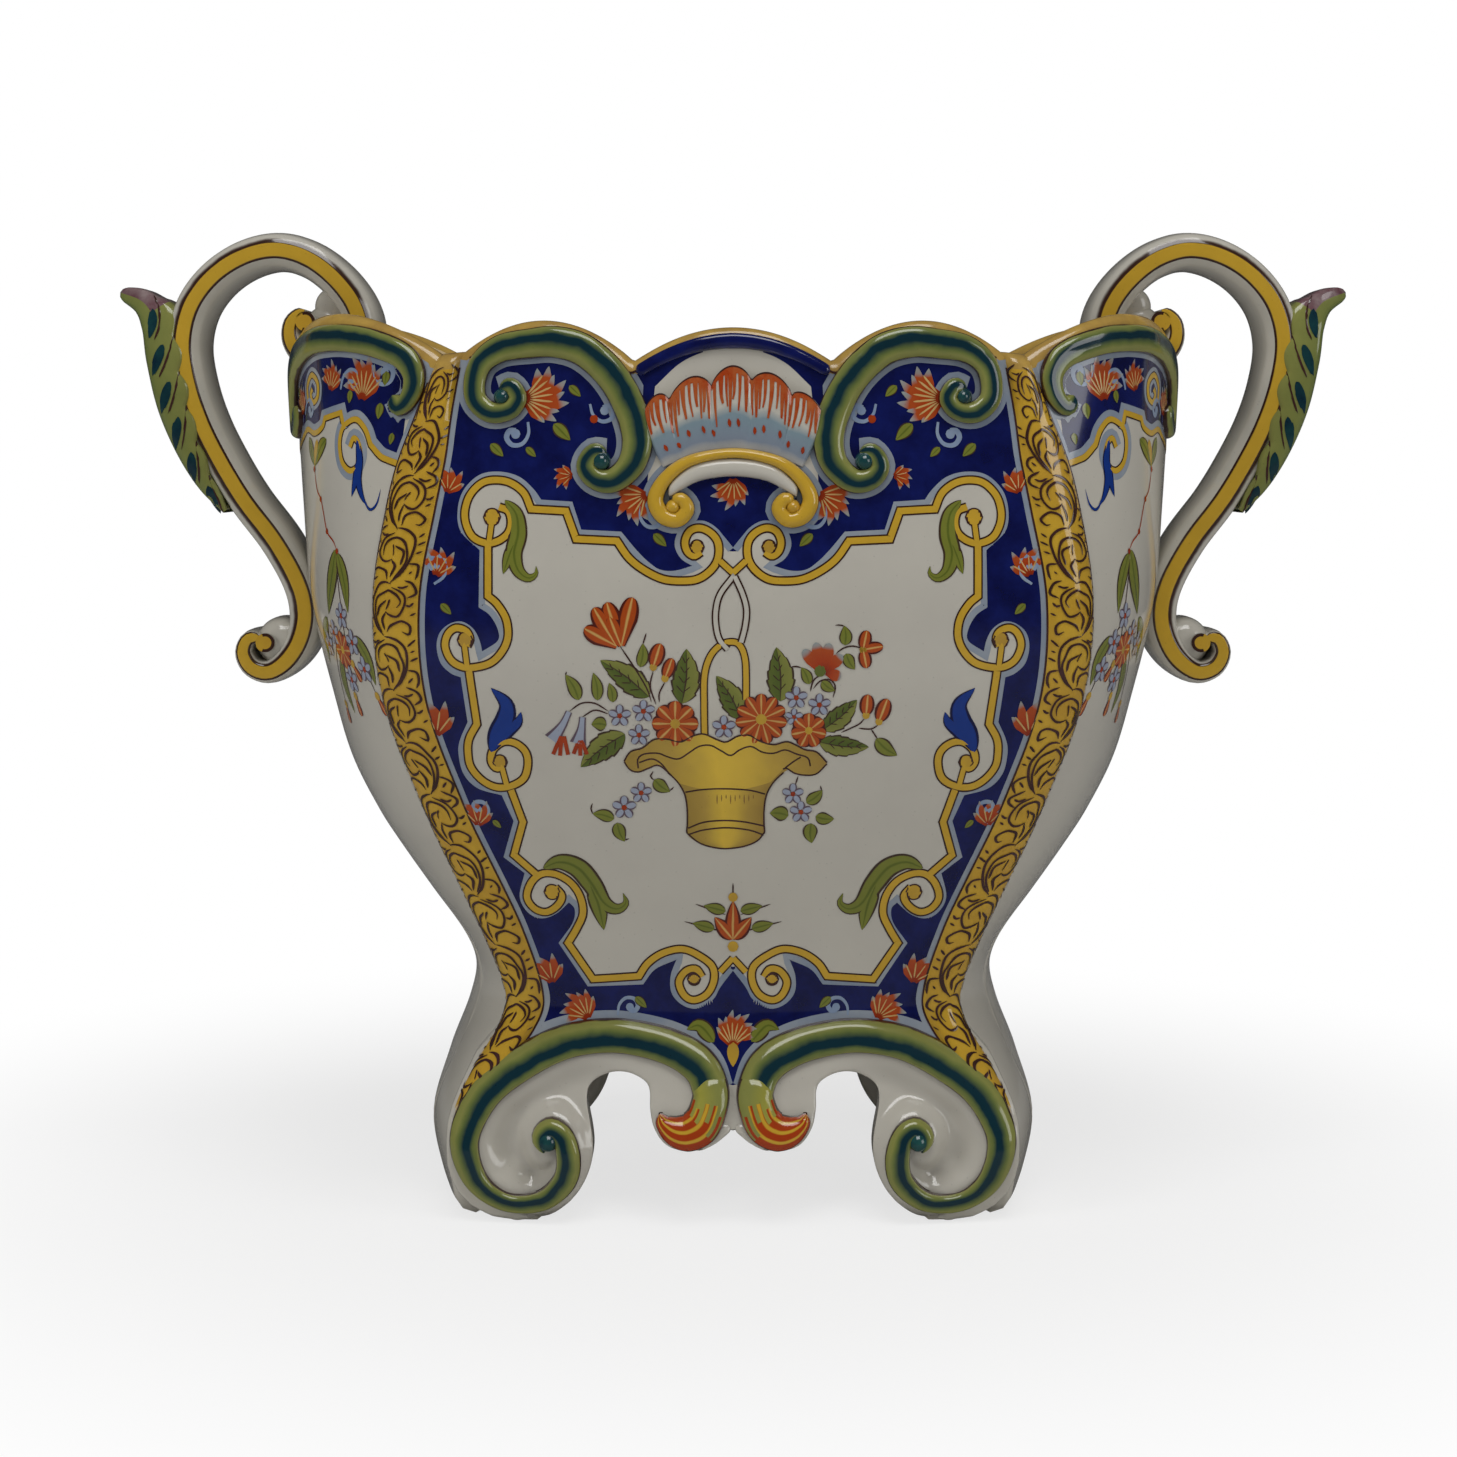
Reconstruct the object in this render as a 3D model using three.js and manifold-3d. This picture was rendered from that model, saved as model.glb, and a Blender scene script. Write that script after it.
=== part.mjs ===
// Footed two-handled jardiniere in glazed earthenware, millimetres, +Z up, front towards -Y.
// Origin: the middle of the footprint, on the surface that the feet stand on.
// Bombe walls between four corner bands, a floor, scroll legs, end aprons, applied scrolls and strap handles.

import * as THREE from "three";
import { mergeVertices } from "three/addons/utils/BufferGeometryUtils.js";
import Module from "manifold-3d";

const wasm = await Module();
wasm.setup();

// Driving dimensions
const wallThickness = 6.5;
const seam = 0.3;                  // slip joint between pieces that are luted together
const waistHeight = 54;            // where the walls meet the legs
const floorThickness = 7;
const rimValley = 229.5;           // low points of the scalloped rim
const frontSideArchRise = 11;
const frontMiddleArchRise = 9;
const endArchRise = 14;
const bandCrown = 2.4;             // how far the corner bands stand proud of the walls
const legThickness = 15;
const apronThickness = 9;
const apronArchHeight = 33;        // top of the arch between front and back leg, seen from an end
const reliefHeight = 3.2;          // applied scrolls
const endReliefHeight = 2.6;
const footScrollWidth = 7.8;
const rimScrollWidth = 8.2;
const endScrollWidth = 7.0;
const leafTipWidth = 6.8;
const shellHeight = 3.0;
const archMouldingHeight = 2.8;
const archMouldingWidth = 6.0;
const handleThickness = 11;
const handleFaceThickness = 5;     // the narrow painted face of the strap
const handleDepth = 26;
const handleShoulderDepth = 12;    // depth over which the strap has its full thickness
const leafDepth = handleDepth - 1;

// The profiles and scroll paths below are drawn for this rim height, and rise with the rim
const drawnRimValley = 229.5;
const fromRim = (path) => path.map(([x, z]) => [x, z + rimValley - drawnRimValley]);

// Body profile: height, half width and half depth at a corner
const cornerProfile = [
  [0, 73, 57], [18, 75.6, 59], [29, 73.2, 56], [41, 65.6, 50], [50, 59.5, 45.5], [57, 58, 44.5],
  [76, 64.3, 48], [89, 69.6, 52], [112, 79, 59.5], [140, 88.3, 66.5], [166, 90.2, 68],
  [192, 85.8, 66], [209, 81.6, 63.5], [232, 75.4, 60],
];
// Height and reach of the end panels on the centre line
const endProfile = [
  [0, 79], [8, 83], [22, 85.5], [37, 80.5], [50, 75.5], [60, 73.8], [69, 77], [82, 86.5], [95, 95.7],
  [104, 101.5], [119, 109], [136, 114], [163, 120.5], [192, 123.2], [235, 126],
];
// Height and bow of the front panel between its corners
const bowProfile = [[0, 7], [57, 8], [150, 12], [232, 10]];
// Height and width of a corner band, measured across each of the two panels that it joins
const bandProfile = [[50, 6.2], [76, 7.6], [110, 7], [166, 7.6], [200, 7.2], [216, 5], [232, 3.2]];

// Smooth curve through rows of [height, value, ...]
function smooth(rows, column = 1) {
  const slope = (a, b) => (b[column] - a[column]) / (b[0] - a[0]);
  return (height) => {
    const z = THREE.MathUtils.clamp(height, rows[0][0], rows.at(-1)[0]);
    const i = Math.min(rows.length - 2, rows.findLastIndex((row) => row[0] <= z));
    const [low, high] = [rows[i], rows[i + 1]];
    const [before, after] = [rows[i - 1] ?? low, rows[i + 2] ?? high];
    const span = high[0] - low[0];
    const t = (z - low[0]) / span;
    const m0 = before === low ? slope(low, high) : slope(before, high);
    const m1 = after === high ? slope(low, high) : slope(low, after);
    return low[column] * (1 + 2 * t) * (1 - t) ** 2 + m0 * span * t * (1 - t) ** 2
      + high[column] * t * t * (3 - 2 * t) + m1 * span * t * t * (t - 1);
  };
}

const cornerX = smooth(cornerProfile, 1);
const cornerY = smooth(cornerProfile, 2);
const endReach = smooth(endProfile);
const bow = smooth(bowProfile);
const bandWidth = smooth(bandProfile);

// A panel bows outwards as an arc over its chord
function arc(halfChord, rise) {
  const radius = (halfChord ** 2 + rise ** 2) / (2 * rise);
  return { radius, angle: Math.asin(halfChord / radius), centre: rise - radius };
}

const frontArc = (z) => arc(cornerX(z), bow(z));
const endArc = (z) => arc(cornerY(z), endReach(z) - cornerX(z));

// Point of the front panel: u runs from -1 at its left corner to 1 at its right, out is how far it stands proud
function frontPoint(u, z, out = 0) {
  const { radius, angle, centre } = frontArc(z);
  const turn = u * angle;
  return [(radius + out) * Math.sin(turn), -(cornerY(z) + centre + (radius + out) * Math.cos(turn)), z];
}

// The same panel addressed by its distance from the centre line
function frontAt(x, z, out = 0) {
  const { radius, centre } = frontArc(z);
  return [x, -(cornerY(z) + centre + Math.sqrt((radius + out) ** 2 - x * x)), z];
}

// Point of the right end panel: t runs from -1 at the front corner to 1 at the back one
function endPoint(t, z, out = 0) {
  const { radius, angle, centre } = endArc(z);
  const turn = t * angle;
  return [cornerX(z) + centre + (radius + out) * Math.cos(turn), (radius + out) * Math.sin(turn), z];
}

// The same panel addressed by the distance along it from its middle, negative towards the front
function endAt(along, z, out = 0) {
  const { radius, angle } = endArc(z);
  return endPoint(along / (radius * angle), z, out);
}

// Share of the panel that a distance from its corner takes up
const frontShare = (z, distance) => 1 - distance / (frontArc(z).radius * frontArc(z).angle);
const endShare = (z, distance) => 1 - distance / (endArc(z).radius * endArc(z).angle);

// Scalloped rim: three arches on the front and back, two on each end
const archSpan = 0.345;            // share of the half panel that half of the middle arch takes
const scallop = (t) => 1 - t * t;
function frontRim(u) {
  const side = Math.abs(u);
  if (side < archSpan) return rimValley + frontMiddleArchRise * scallop(side / archSpan);
  return rimValley + frontSideArchRise * scallop((2 * side - archSpan - 1) / (1 - archSpan));
}
const endRim = (t) => rimValley + endArchRise * scallop(2 * Math.abs(t) - 1);

const steps = (count) => Array.from({ length: count + 1 }, (_, i) => i / count);
const mix = THREE.MathUtils.lerp;

function finish(points, triangles) {
  const geometry = new THREE.BufferGeometry();
  geometry.setAttribute("position", new THREE.Float32BufferAttribute(points.flat(), 3));
  geometry.setIndex(triangles.flat());
  let volume = 0;
  for (const [a, b, c] of triangles) {
    const [p, q, r] = [points[a], points[b], points[c]].map((point) => new THREE.Vector3(...point));
    volume += p.dot(q.cross(r));
  }
  if (volume < 0) geometry.setIndex(triangles.flatMap(([a, b, c]) => [a, c, b]));
  return geometry;
}

// Closed slab between two grids of points of the same shape
function slab(outer, inner) {
  const [rows, columns] = [outer.length, outer[0].length];
  const points = [...outer.flat(), ...inner.flat()];
  const at = (layer, i, j) => layer * rows * columns + i * columns + j;
  const triangles = [];
  const quad = (a, b, c, d) => triangles.push([a, b, c], [a, c, d]);
  for (let i = 0; i < rows - 1; i++) {
    for (let j = 0; j < columns - 1; j++) {
      quad(at(0, i, j), at(0, i, j + 1), at(0, i + 1, j + 1), at(0, i + 1, j));
      quad(at(1, i, j), at(1, i + 1, j), at(1, i + 1, j + 1), at(1, i, j + 1));
    }
    quad(at(0, i, 0), at(0, i + 1, 0), at(1, i + 1, 0), at(1, i, 0));
    quad(at(0, i, columns - 1), at(1, i, columns - 1), at(1, i + 1, columns - 1), at(0, i + 1, columns - 1));
  }
  for (let j = 0; j < columns - 1; j++) {
    quad(at(0, 0, j), at(1, 0, j), at(1, 0, j + 1), at(0, 0, j + 1));
    quad(at(0, rows - 1, j), at(0, rows - 1, j + 1), at(1, rows - 1, j + 1), at(1, rows - 1, j));
  }
  return finish(points, triangles);
}

// Closed loft through rings of the same number of points
function loft(rings) {
  const count = rings[0].length;
  const points = rings.flat();
  const triangles = [];
  for (let i = 0; i < rings.length - 1; i++) {
    for (let j = 0; j < count; j++) {
      const k = (j + 1) % count;
      const [a, b, c, d] = [i * count + j, i * count + k, (i + 1) * count + k, (i + 1) * count + j];
      triangles.push([a, b, c], [a, c, d]);
    }
  }
  for (const [start, turn] of [[0, -1], [(rings.length - 1) * count, 1]]) {
    const ring = points.slice(start, start + count);
    const middle = [0, 1, 2].map((axis) => ring.reduce((sum, p) => sum + p[axis], 0) / count);
    const centre = points.push(middle) - 1;
    for (let j = 0; j < count; j++) {
      const [a, b] = [start + j, start + ((j + 1) % count)];
      triangles.push(turn > 0 ? [centre, a, b] : [centre, b, a]);
    }
  }
  return finish(points, triangles);
}

// Moulding laid along a curve on a panel: its section is domed, and its root is cut to the panel by seat()
const rootDepth = 1.2;
const domeSection = [[-1, 0], [-0.5, 1], [0.5, 1], [1, 0]];
function moulding(path, count, halfWidth, height, place) {
  const curve = new THREE.SplineCurve(path.map(([x, z]) => new THREE.Vector2(x, z)));
  return loft(steps(count).map((s) => {
    const point = curve.getPointAt(s);
    const along = curve.getTangentAt(s);
    const [half, tall] = [halfWidth(s), height(s)];
    return domeSection.map(([across, up]) => {
      const out = up ? seam + tall * up : -rootDepth;
      return place(point.x - along.y * half * across, point.y + along.x * half * across, out);
    });
  }));
}

// Width and height of a moulding that thins towards its two ends
const tapered = (full, startShare, endShare_, length = 0.12) => (s) =>
  full * Math.min(1, mix(startShare, 1, s / length), mix(endShare_, 1, (1 - s) / length));

function toSolid(geometry) {
  const bare = geometry.clone();
  for (const name of ["normal", "uv"]) bare.deleteAttribute(name);
  const merged = mergeVertices(bare, 1e-4);
  return new wasm.Manifold(new wasm.Mesh({
    numProp: 3,
    vertProperties: new Float32Array(merged.attributes.position.array),
    triVerts: new Uint32Array(merged.index.array),
  }));
}

function fromSolid(solid) {
  const mesh = solid.getMesh();
  const geometry = new THREE.BufferGeometry();
  geometry.setAttribute("position", new THREE.BufferAttribute(mesh.vertProperties, 3));
  geometry.setIndex(new THREE.BufferAttribute(mesh.triVerts, 1));
  return geometry;
}

// A piece cut to the faces of those that carry it
const largest = (solid) => solid.decompose().reduce((a, b) => (a.volume() > b.volume() ? a : b));
function seat(piece, ...spaces) {
  return fromSolid(largest(spaces.reduce((solid, space) => solid.subtract(toSolid(space)), toSolid(piece))));
}

// Copy of a piece on the other side of the object: mirrored left to right, or turned round to the back
function mirrored(geometry) {
  const copy = geometry.clone().scale(-1, 1, 1);
  const index = [...copy.index.array];
  const flipped = [];
  for (let i = 0; i < index.length; i += 3) flipped.push(index[i], index[i + 2], index[i + 1]);
  return copy.setIndex(flipped);
}
const turned = (geometry) => geometry.clone().rotateZ(Math.PI);

const glaze = (color, roughness = 0.16) => new THREE.MeshStandardMaterial({ color, roughness, metalness: 0 });
const white = glaze(0xcfcac0);
const ochre = glaze(0xc99f35);
const green = glaze(0x5f7a35);
const blue = glaze(0x19245f);
const terracotta = glaze(0xb5532a);

const jardiniere = new THREE.Group();
function add(name, geometry, material) {
  const mesh = new THREE.Mesh(geometry, material);
  mesh.name = name;
  jardiniere.add(mesh);
}

// Walls and bands share their levels, so that the seams between them stay parallel
const shoulderHeight = rimValley - 3;
const levels = steps(8).map((r) => mix(waistHeight, shoulderHeight, r));

// Walls; growth adds the seam round a wall, for the pieces that are cut to it
function wall(point, rim, edge, columns, growth = 0) {
  const surface = (out) => steps(columns).map((c) => {
    const top = rim(mix(-1, 1, c) * edge(shoulderHeight, bandWidth(shoulderHeight))) + growth;
    return [...levels, top].map((z) => {
      const half = edge(z, bandWidth(z) + seam - growth);
      return point(mix(-half, half, c), z, out);
    });
  });
  return slab(surface(growth), surface(-wallThickness - growth));
}
const frontShape = [frontPoint, frontRim, frontShare, 16];
const endShape = [endPoint, endRim, endShare, 12];
const frontWall = wall(...frontShape);
const rightWall = wall(...endShape);
const frontWallSpace = wall(...frontShape, seam);
const rightWallSpace = wall(...endShape, seam);
add("wall_front", frontWall, white);
add("wall_back", turned(frontWall), white);
add("wall_right", rightWall, white);
add("wall_left", turned(rightWall), white);

// Corner bands, from the waist to the rim
function cornerBand(growth = 0) {
  const rows = [...levels, rimValley + 1 + growth];
  const row = (z, foot, crown) => {
    const width = bandWidth(z) + growth;
    const [u, t] = [frontShare(z, width), endShare(z, width)];
    const middle = [frontPoint(1, z, crown), endPoint(-1, z, crown)];
    return [
      frontPoint(u, z, foot), frontPoint(mix(u, 1, 0.3), z, crown),
      middle[0].map((value, axis) => (value + middle[1][axis]) / 2),
      endPoint(mix(-t, -1, 0.3), z, crown), endPoint(-t, z, foot),
    ];
  };
  const inner = -wallThickness - growth;
  return slab(
    rows.map((z) => row(z, growth, bandCrown + growth)),
    rows.map((z) => row(z, inner, inner)),
  );
}
const band = cornerBand();
const bandSpace = cornerBand(seam);
add("corner_band_front_right", band, ochre);
add("corner_band_front_left", mirrored(band), ochre);
add("corner_band_back_left", turned(band), ochre);
add("corner_band_back_right", turned(mirrored(band)), ochre);

// Floor, fitted inside the walls
function floorOutline(z) {
  const inset = -(wallThickness + seam);
  const front = steps(8).map((c) => frontPoint(mix(-1, 1, c) * frontShare(z, wallThickness), z, inset));
  const end = steps(8).map((c) => endPoint(mix(-1, 1, c) * endShare(z, wallThickness), z, inset));
  const half = [...front, ...end];
  return [...half, ...half.map(([x, y]) => [-x, -y, z])];
}
const floorLevels = [waistHeight + seam, waistHeight + floorThickness];
add("floor_slab", loft(floorLevels.map(floorOutline)), white);

// Scroll legs: a curved plate cut to the outline of the scroll foot and half of the apron
const legOutline = [
  [seam, 25.2], [4.6, 22.3], [9, 20.2], [13.6, 19.5], [18.6, 20.8], [22, 25], [23, 30], [23.4, 36],
  [29.5, 38.8], [35.5, 37.4],
  [39.4, 33], [37.4, 21], [38.4, 13.5], [42.5, 6], [49, 0], [64, 0], [71.5, 4.5], [76, 12], [77, 22],
  [73.6, 31.5], [68.2, 42],
];
const scoop = { x: 58, z: 17.5, radius: 9.5, depth: 5 };
const plateMargin = 4;             // how far the bowed plate runs past the leg that is cut from it
const legPlate = (growth) => {
  const grid = (out) => steps(7).map((c) => steps(6).map((r) => {
    const x = mix(-plateMargin, cornerX(0) + 3 * plateMargin, c);
    return frontAt(x, mix(-plateMargin, waistHeight + plateMargin, r), out);
  }));
  return slab(grid(growth), grid(-legThickness));
};
const prismDepth = 2 * cornerY(0);
function leg() {
  const top = waistHeight - seam;
  const corners = legOutline.map(([x, z]) => new THREE.Vector3(x, z, 0));
  const curve = new THREE.CatmullRomCurve3(corners, false, "centripetal");
  const outline = new THREE.Shape([
    new THREE.Vector2(seam, top),
    ...curve.getPoints(34).map(({ x, y }) => new THREE.Vector2(Math.max(seam / 2, x), Math.max(0, y))),
    new THREE.Vector2(cornerX(top) + 3, top),
  ]);
  const prism = new THREE.ExtrudeGeometry(outline, { depth: prismDepth, bevelEnabled: false });
  prism.rotateX(Math.PI / 2);
  const face = frontAt(scoop.x, scoop.z);
  const hollow = new THREE.SphereGeometry(1, 12, 8)
    .scale(scoop.radius, scoop.depth, scoop.radius).translate(...face);
  return fromSolid(toSolid(legPlate(0)).intersect(toSolid(prism)).subtract(toSolid(hollow)));
}
const rightLeg = leg();
add("leg_front_right", rightLeg, white);
add("leg_front_left", mirrored(rightLeg), white);
add("leg_back_left", turned(rightLeg), white);
add("leg_back_right", turned(mirrored(rightLeg)), white);

// End aprons: the plain flanks between a front and a back leg, with an arch under them
function apron() {
  const legStop = (z) => {
    const { radius, angle } = endArc(z);
    return Math.asin((cornerY(z) - legThickness - 1) / radius) / angle;
  };
  const archHalf = 0.62;
  const foot = (c) => apronArchHeight * Math.sqrt(Math.max(0, 1 - (c / archHalf) ** 2));
  const surface = (out) => steps(12).map((c) => steps(5).map((r) => {
    const side = mix(-1, 1, c);
    const z = mix(foot(side), waistHeight - seam, r);
    return endPoint(side * legStop(z), z, out);
  }));
  return slab(surface(0), surface(-apronThickness));
}
const rightApron = apron();
add("end_apron_right", rightApron, white);
add("end_apron_left", turned(rightApron), white);

// Applied green scroll of each leg, rolling up at the foot, and the terracotta leaf at its upper end
const footScroll = [
  [8.8, 31], [8.6, 36], [12, 42], [19.6, 45.9], [30.4, 47.4], [42.4, 46.2], [53, 42.6], [61.3, 37.5],
  [67.4, 30.8], [71, 23], [71.4, 15.5], [69, 9.6], [64.3, 5.7], [58.3, 4.9], [52, 6.4], [46.8, 10.6],
  [44.4, 16.6], [45.2, 21.6],
  [48, 23.8], [50.8, 22], [50.4, 19],
];
const legSpaces = [legPlate(seam), frontWallSpace, bandSpace];
const footScrollPiece = seat(moulding(
  footScroll, 25, tapered(footScrollWidth / 2, 0.75, 0.5, 0.2), tapered(reliefHeight, 0.8, 0.7), frontAt,
), ...legSpaces);
const leafTip = [[10.2, 28], [12, 25.2], [15.4, 24], [19.4, 25.8]];
const leafTipPiece = seat(moulding(
  leafTip, 10, tapered(leafTipWidth / 2, 0.9, 0.3, 0.8), tapered(reliefHeight, 0.9, 0.6), frontAt,
), ...legSpaces);

// Applied scroll under each outer arch of the rim
const rimScroll = [
  [58.2, 220.6], [61, 217], [65.2, 218.4], [67.6, 224.6], [65.4, 231], [58, 234], [51, 234.9], [40.7, 233.6],
  [32.8, 228.8], [27.6, 221.3], [24.9, 212.6], [24.8, 204.8], [27.7, 199], [33.2, 196.8], [37.9, 199.6],
  [38.3, 203.8], [35, 206], [32, 204.4],
];
const rimScrollPiece = seat(moulding(
  fromRim(rimScroll), 24, tapered(rimScrollWidth / 2, 0.6, 0.5, 0.2),
  tapered(reliefHeight, 0.8, 0.8), frontAt,
), frontWallSpace, bandSpace);

function addFour(name, piece, material) {
  add(`${name}_front_right`, piece, material);
  add(`${name}_front_left`, mirrored(piece), material);
  add(`${name}_back_left`, turned(piece), material);
  add(`${name}_back_right`, turned(mirrored(piece)), material);
}
addFour("foot_scroll", footScrollPiece, green);
addFour("foot_leaf", leafTipPiece, terracotta);
addFour("rim_scroll", rimScrollPiece, green);

// Applied scroll under each arch of an end, addressed along the end panel from its middle
const endScroll = [
  [-69.5, 220.5], [-72.3, 217.6], [-75.2, 220.8], [-75.4, 226.2], [-72, 230.8], [-66, 233.6], [-57, 235.8],
  [-46.5, 236.6], [-35, 235.8], [-24, 232.2], [-15.5, 226.4], [-11.2, 219.8], [-12.2, 213.8], [-17, 212],
  [-20.6, 214.8], [-19, 218.4],
];
const endScrollPiece = seat(moulding(
  fromRim(endScroll), 21, tapered(endScrollWidth / 2, 0.6, 0.5, 0.2),
  tapered(endReliefHeight, 0.8, 0.8), endAt,
), rightWallSpace, bandSpace);
addFour("end_scroll", endScrollPiece, green);

// Fluted shell under the middle arch, and the arch moulding below it
const shell = {
  lobes: 5, lobeRise: 2.6,
  lowHalf: 18.5, lowUnderRim: 23.3, lowDrop: 4.8,
  topHalf: 21.6, topUnderRim: 4.3, topDrop: 8.2,
};
function shellPiece() {
  const across = steps(shell.lobes * 4).map((c) => mix(-1, 1, c));
  const lobe = (c) => Math.abs(Math.sin(((c + 1) / 2) * shell.lobes * Math.PI));
  const grid = (out) => across.map((c) => steps(3).map((r) => {
    const low = rimValley - shell.lowUnderRim - shell.lowDrop * c * c;
    const top = rimValley - shell.topUnderRim - shell.topDrop * c * c + shell.lobeRise * lobe(c);
    return frontAt(c * mix(shell.lowHalf, shell.topHalf, r), mix(low, top, r), out(c, r));
  }));
  const relief = (c, r) => seam + shellHeight * (0.45 + 0.55 * lobe(c) * Math.sin(Math.PI * (0.2 + 0.6 * r)));
  return seat(slab(grid(relief), grid(() => -rootDepth)), frontWallSpace, archMoulding(seam));
}
const archHalf = fromRim([
  [0, 203.4], [10.9, 201.6], [16.4, 198.2], [19, 193.8], [17.7, 189.8], [13.8, 189.4], [12.2, 192.4],
]);
const archPath = [...archHalf.slice(1).reverse().map(([x, z]) => [-x, z]), ...archHalf];
function archMoulding(growth) {
  const halfWidth = tapered(archMouldingWidth / 2 + growth, 0.5, 0.5, 0.35);
  return moulding(archPath, 22, halfWidth, tapered(archMouldingHeight + growth, 0.8, 0.8), frontAt);
}
const archPiece = seat(archMoulding(0), frontWallSpace);
const frontShell = shellPiece();
add("shell_front", frontShell, terracotta);
add("shell_back", turned(frontShell), terracotta);
add("arch_moulding_front", archPiece, ochre);
add("arch_moulding_back", turned(archPiece), ochre);

// Strap handles, in the plane of the ends' centre line: reach and height along the middle of the strap
const handlePath = [
  [134.4, 152.8], [138, 152.2], [139.4, 148.2], [137, 144], [132, 142.8], [126.6, 146.4], [123, 152.6],
  [121.8, 160], [124, 168.8], [130.4, 180.2], [139, 191.6], [145.6, 202.4], [151.2, 213.6], [155, 225],
  [156.6, 236.5], [154.2, 247], [148, 255.4], [139.4, 261], [130, 263], [121.2, 260.6], [113.6, 255],
  [108, 247.6], [106, 240], [108.6, 233.4], [114.6, 230.2], [121, 231.6], [125.6, 236.4], [125.8, 242.2],
  [121.8, 246],
];
function strapSection(growth, share) {
  const [full, face] = [(handleThickness / 2) * share + growth, (handleFaceThickness / 2) * share + growth];
  const [deep, shoulder] = [handleDepth / 2 + growth, handleShoulderDepth / 2];
  return [[-face, -deep], [face, -deep], [full, -shoulder], [full, shoulder], [face, deep], [-face, deep],
    [-full, shoulder], [-full, -shoulder]];
}
const handleCurve = new THREE.SplineCurve(handlePath.map(([r, z]) => new THREE.Vector2(r, z)));
const strapShare = (s) => Math.min(1, mix(0.42, 1, s / 0.14), mix(0.4, 1, (1 - s) / 0.14));
function strap(growth) {
  return loft(steps(34).map((s) => {
    const point = handleCurve.getPointAt(s);
    const along = handleCurve.getTangentAt(s);
    return strapSection(growth, strapShare(s)).map(([across, y]) =>
      [point.x + along.y * across, y, point.y - along.x * across]);
  }));
}
const handle = seat(strap(0), rightWallSpace);
add("handle_right", handle, ochre);
add("handle_left", turned(handle), ochre);

// Leaf on the outside of each strap, ending in a spur
const leafPath = [
  [144.6, 188.6], [150, 196], [155, 206], [159.4, 218.5], [162.4, 231.5], [164.6, 240.8], [168.8, 246.6],
  [177, 250.6],
];
function leaf() {
  const curve = new THREE.SplineCurve(leafPath.map(([r, z]) => new THREE.Vector2(r, z)));
  const thickness = smooth([[0, 1.4], [0.25, 4], [0.6, 6], [0.8, 5], [0.92, 4], [1, 1.6]]);
  const width = smooth([[0, 0.8], [0.25, 1], [0.6, 1], [0.8, 0.85], [0.92, 0.5], [1, 0.2]]);
  return loft(steps(12).map((s) => {
    const point = curve.getPointAt(s);
    const along = curve.getTangentAt(s);
    return steps(7).map((c) => {
      const turn = (c * 7 / 8) * 2 * Math.PI;
      const [across, y] = [thickness(s) * Math.cos(turn), (leafDepth / 2) * width(s) * Math.sin(turn)];
      return [point.x + along.y * across, y, point.y - along.x * across];
    });
  }));
}
const leafPiece = seat(leaf(), strap(seam));
add("handle_leaf_right", leafPiece, green);
add("handle_leaf_left", turned(leafPiece), green);

export default jardiniere;
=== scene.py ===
# Painted and glazed looks of a footed two-handled jardiniere, in metres, front towards -Y.

import functools
import math

import bmesh
import bpy
from mathutils import Matrix, Vector
from mathutils.geometry import interpolate_bezier


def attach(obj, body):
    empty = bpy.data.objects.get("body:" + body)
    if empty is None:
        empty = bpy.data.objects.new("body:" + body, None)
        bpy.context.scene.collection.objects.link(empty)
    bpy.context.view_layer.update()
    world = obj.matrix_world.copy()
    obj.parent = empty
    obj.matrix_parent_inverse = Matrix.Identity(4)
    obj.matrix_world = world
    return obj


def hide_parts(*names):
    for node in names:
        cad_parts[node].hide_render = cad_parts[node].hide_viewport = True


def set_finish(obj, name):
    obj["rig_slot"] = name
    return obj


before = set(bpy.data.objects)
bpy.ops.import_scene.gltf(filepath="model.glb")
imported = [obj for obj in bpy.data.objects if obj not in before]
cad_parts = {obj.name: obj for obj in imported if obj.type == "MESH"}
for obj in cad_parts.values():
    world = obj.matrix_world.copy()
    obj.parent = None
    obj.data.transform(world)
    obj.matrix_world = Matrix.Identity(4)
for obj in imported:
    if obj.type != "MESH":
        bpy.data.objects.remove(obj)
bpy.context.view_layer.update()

# Driving dimensions, in millimetres, as in the part's source
MM = 0.001
WALL = 6.5
FLOOR_TOP = 61.0
WAIST = 54.0
RIM_VALLEY = 229.5
FRONT_SIDE_ARCH = 11.0
FRONT_MIDDLE_ARCH = 9.0
END_ARCH = 14.0
ARCH_SPAN = 0.345
BAND_CROWN = 2.4
LEG_THICKNESS = 15.0
APRON_THICKNESS = 9.0
APRON_ARCH = 33.0
HANDLE_THICKNESS = 11.0
HANDLE_FACE = 5.0
HANDLE_DEPTH = 26.0

# The photograph's camera: where it stands, how much a pixel covers at the front panel, and its eye level
PHOTO_PIXELS = 1457
FRONT_PLANE_Y = -80.0
CAMERA_Y = -800.0
PIXEL_MM = 0.26
EYE_HEIGHT = 206.0
EYE_ROW = 450
CENTRE_COLUMN = 733
SENSOR = 36.0

# Body profile: height, half width and half depth at a corner
CORNER = [
    (0, 73, 57), (18, 75.6, 59), (29, 73.2, 56), (41, 65.6, 50), (50, 59.5, 45.5), (57, 58, 44.5),
    (76, 64.3, 48), (89, 69.6, 52), (112, 79, 59.5), (140, 88.3, 66.5), (166, 90.2, 68), (192, 85.8, 66),
    (209, 81.6, 63.5), (232, 75.4, 60),
]
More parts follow.
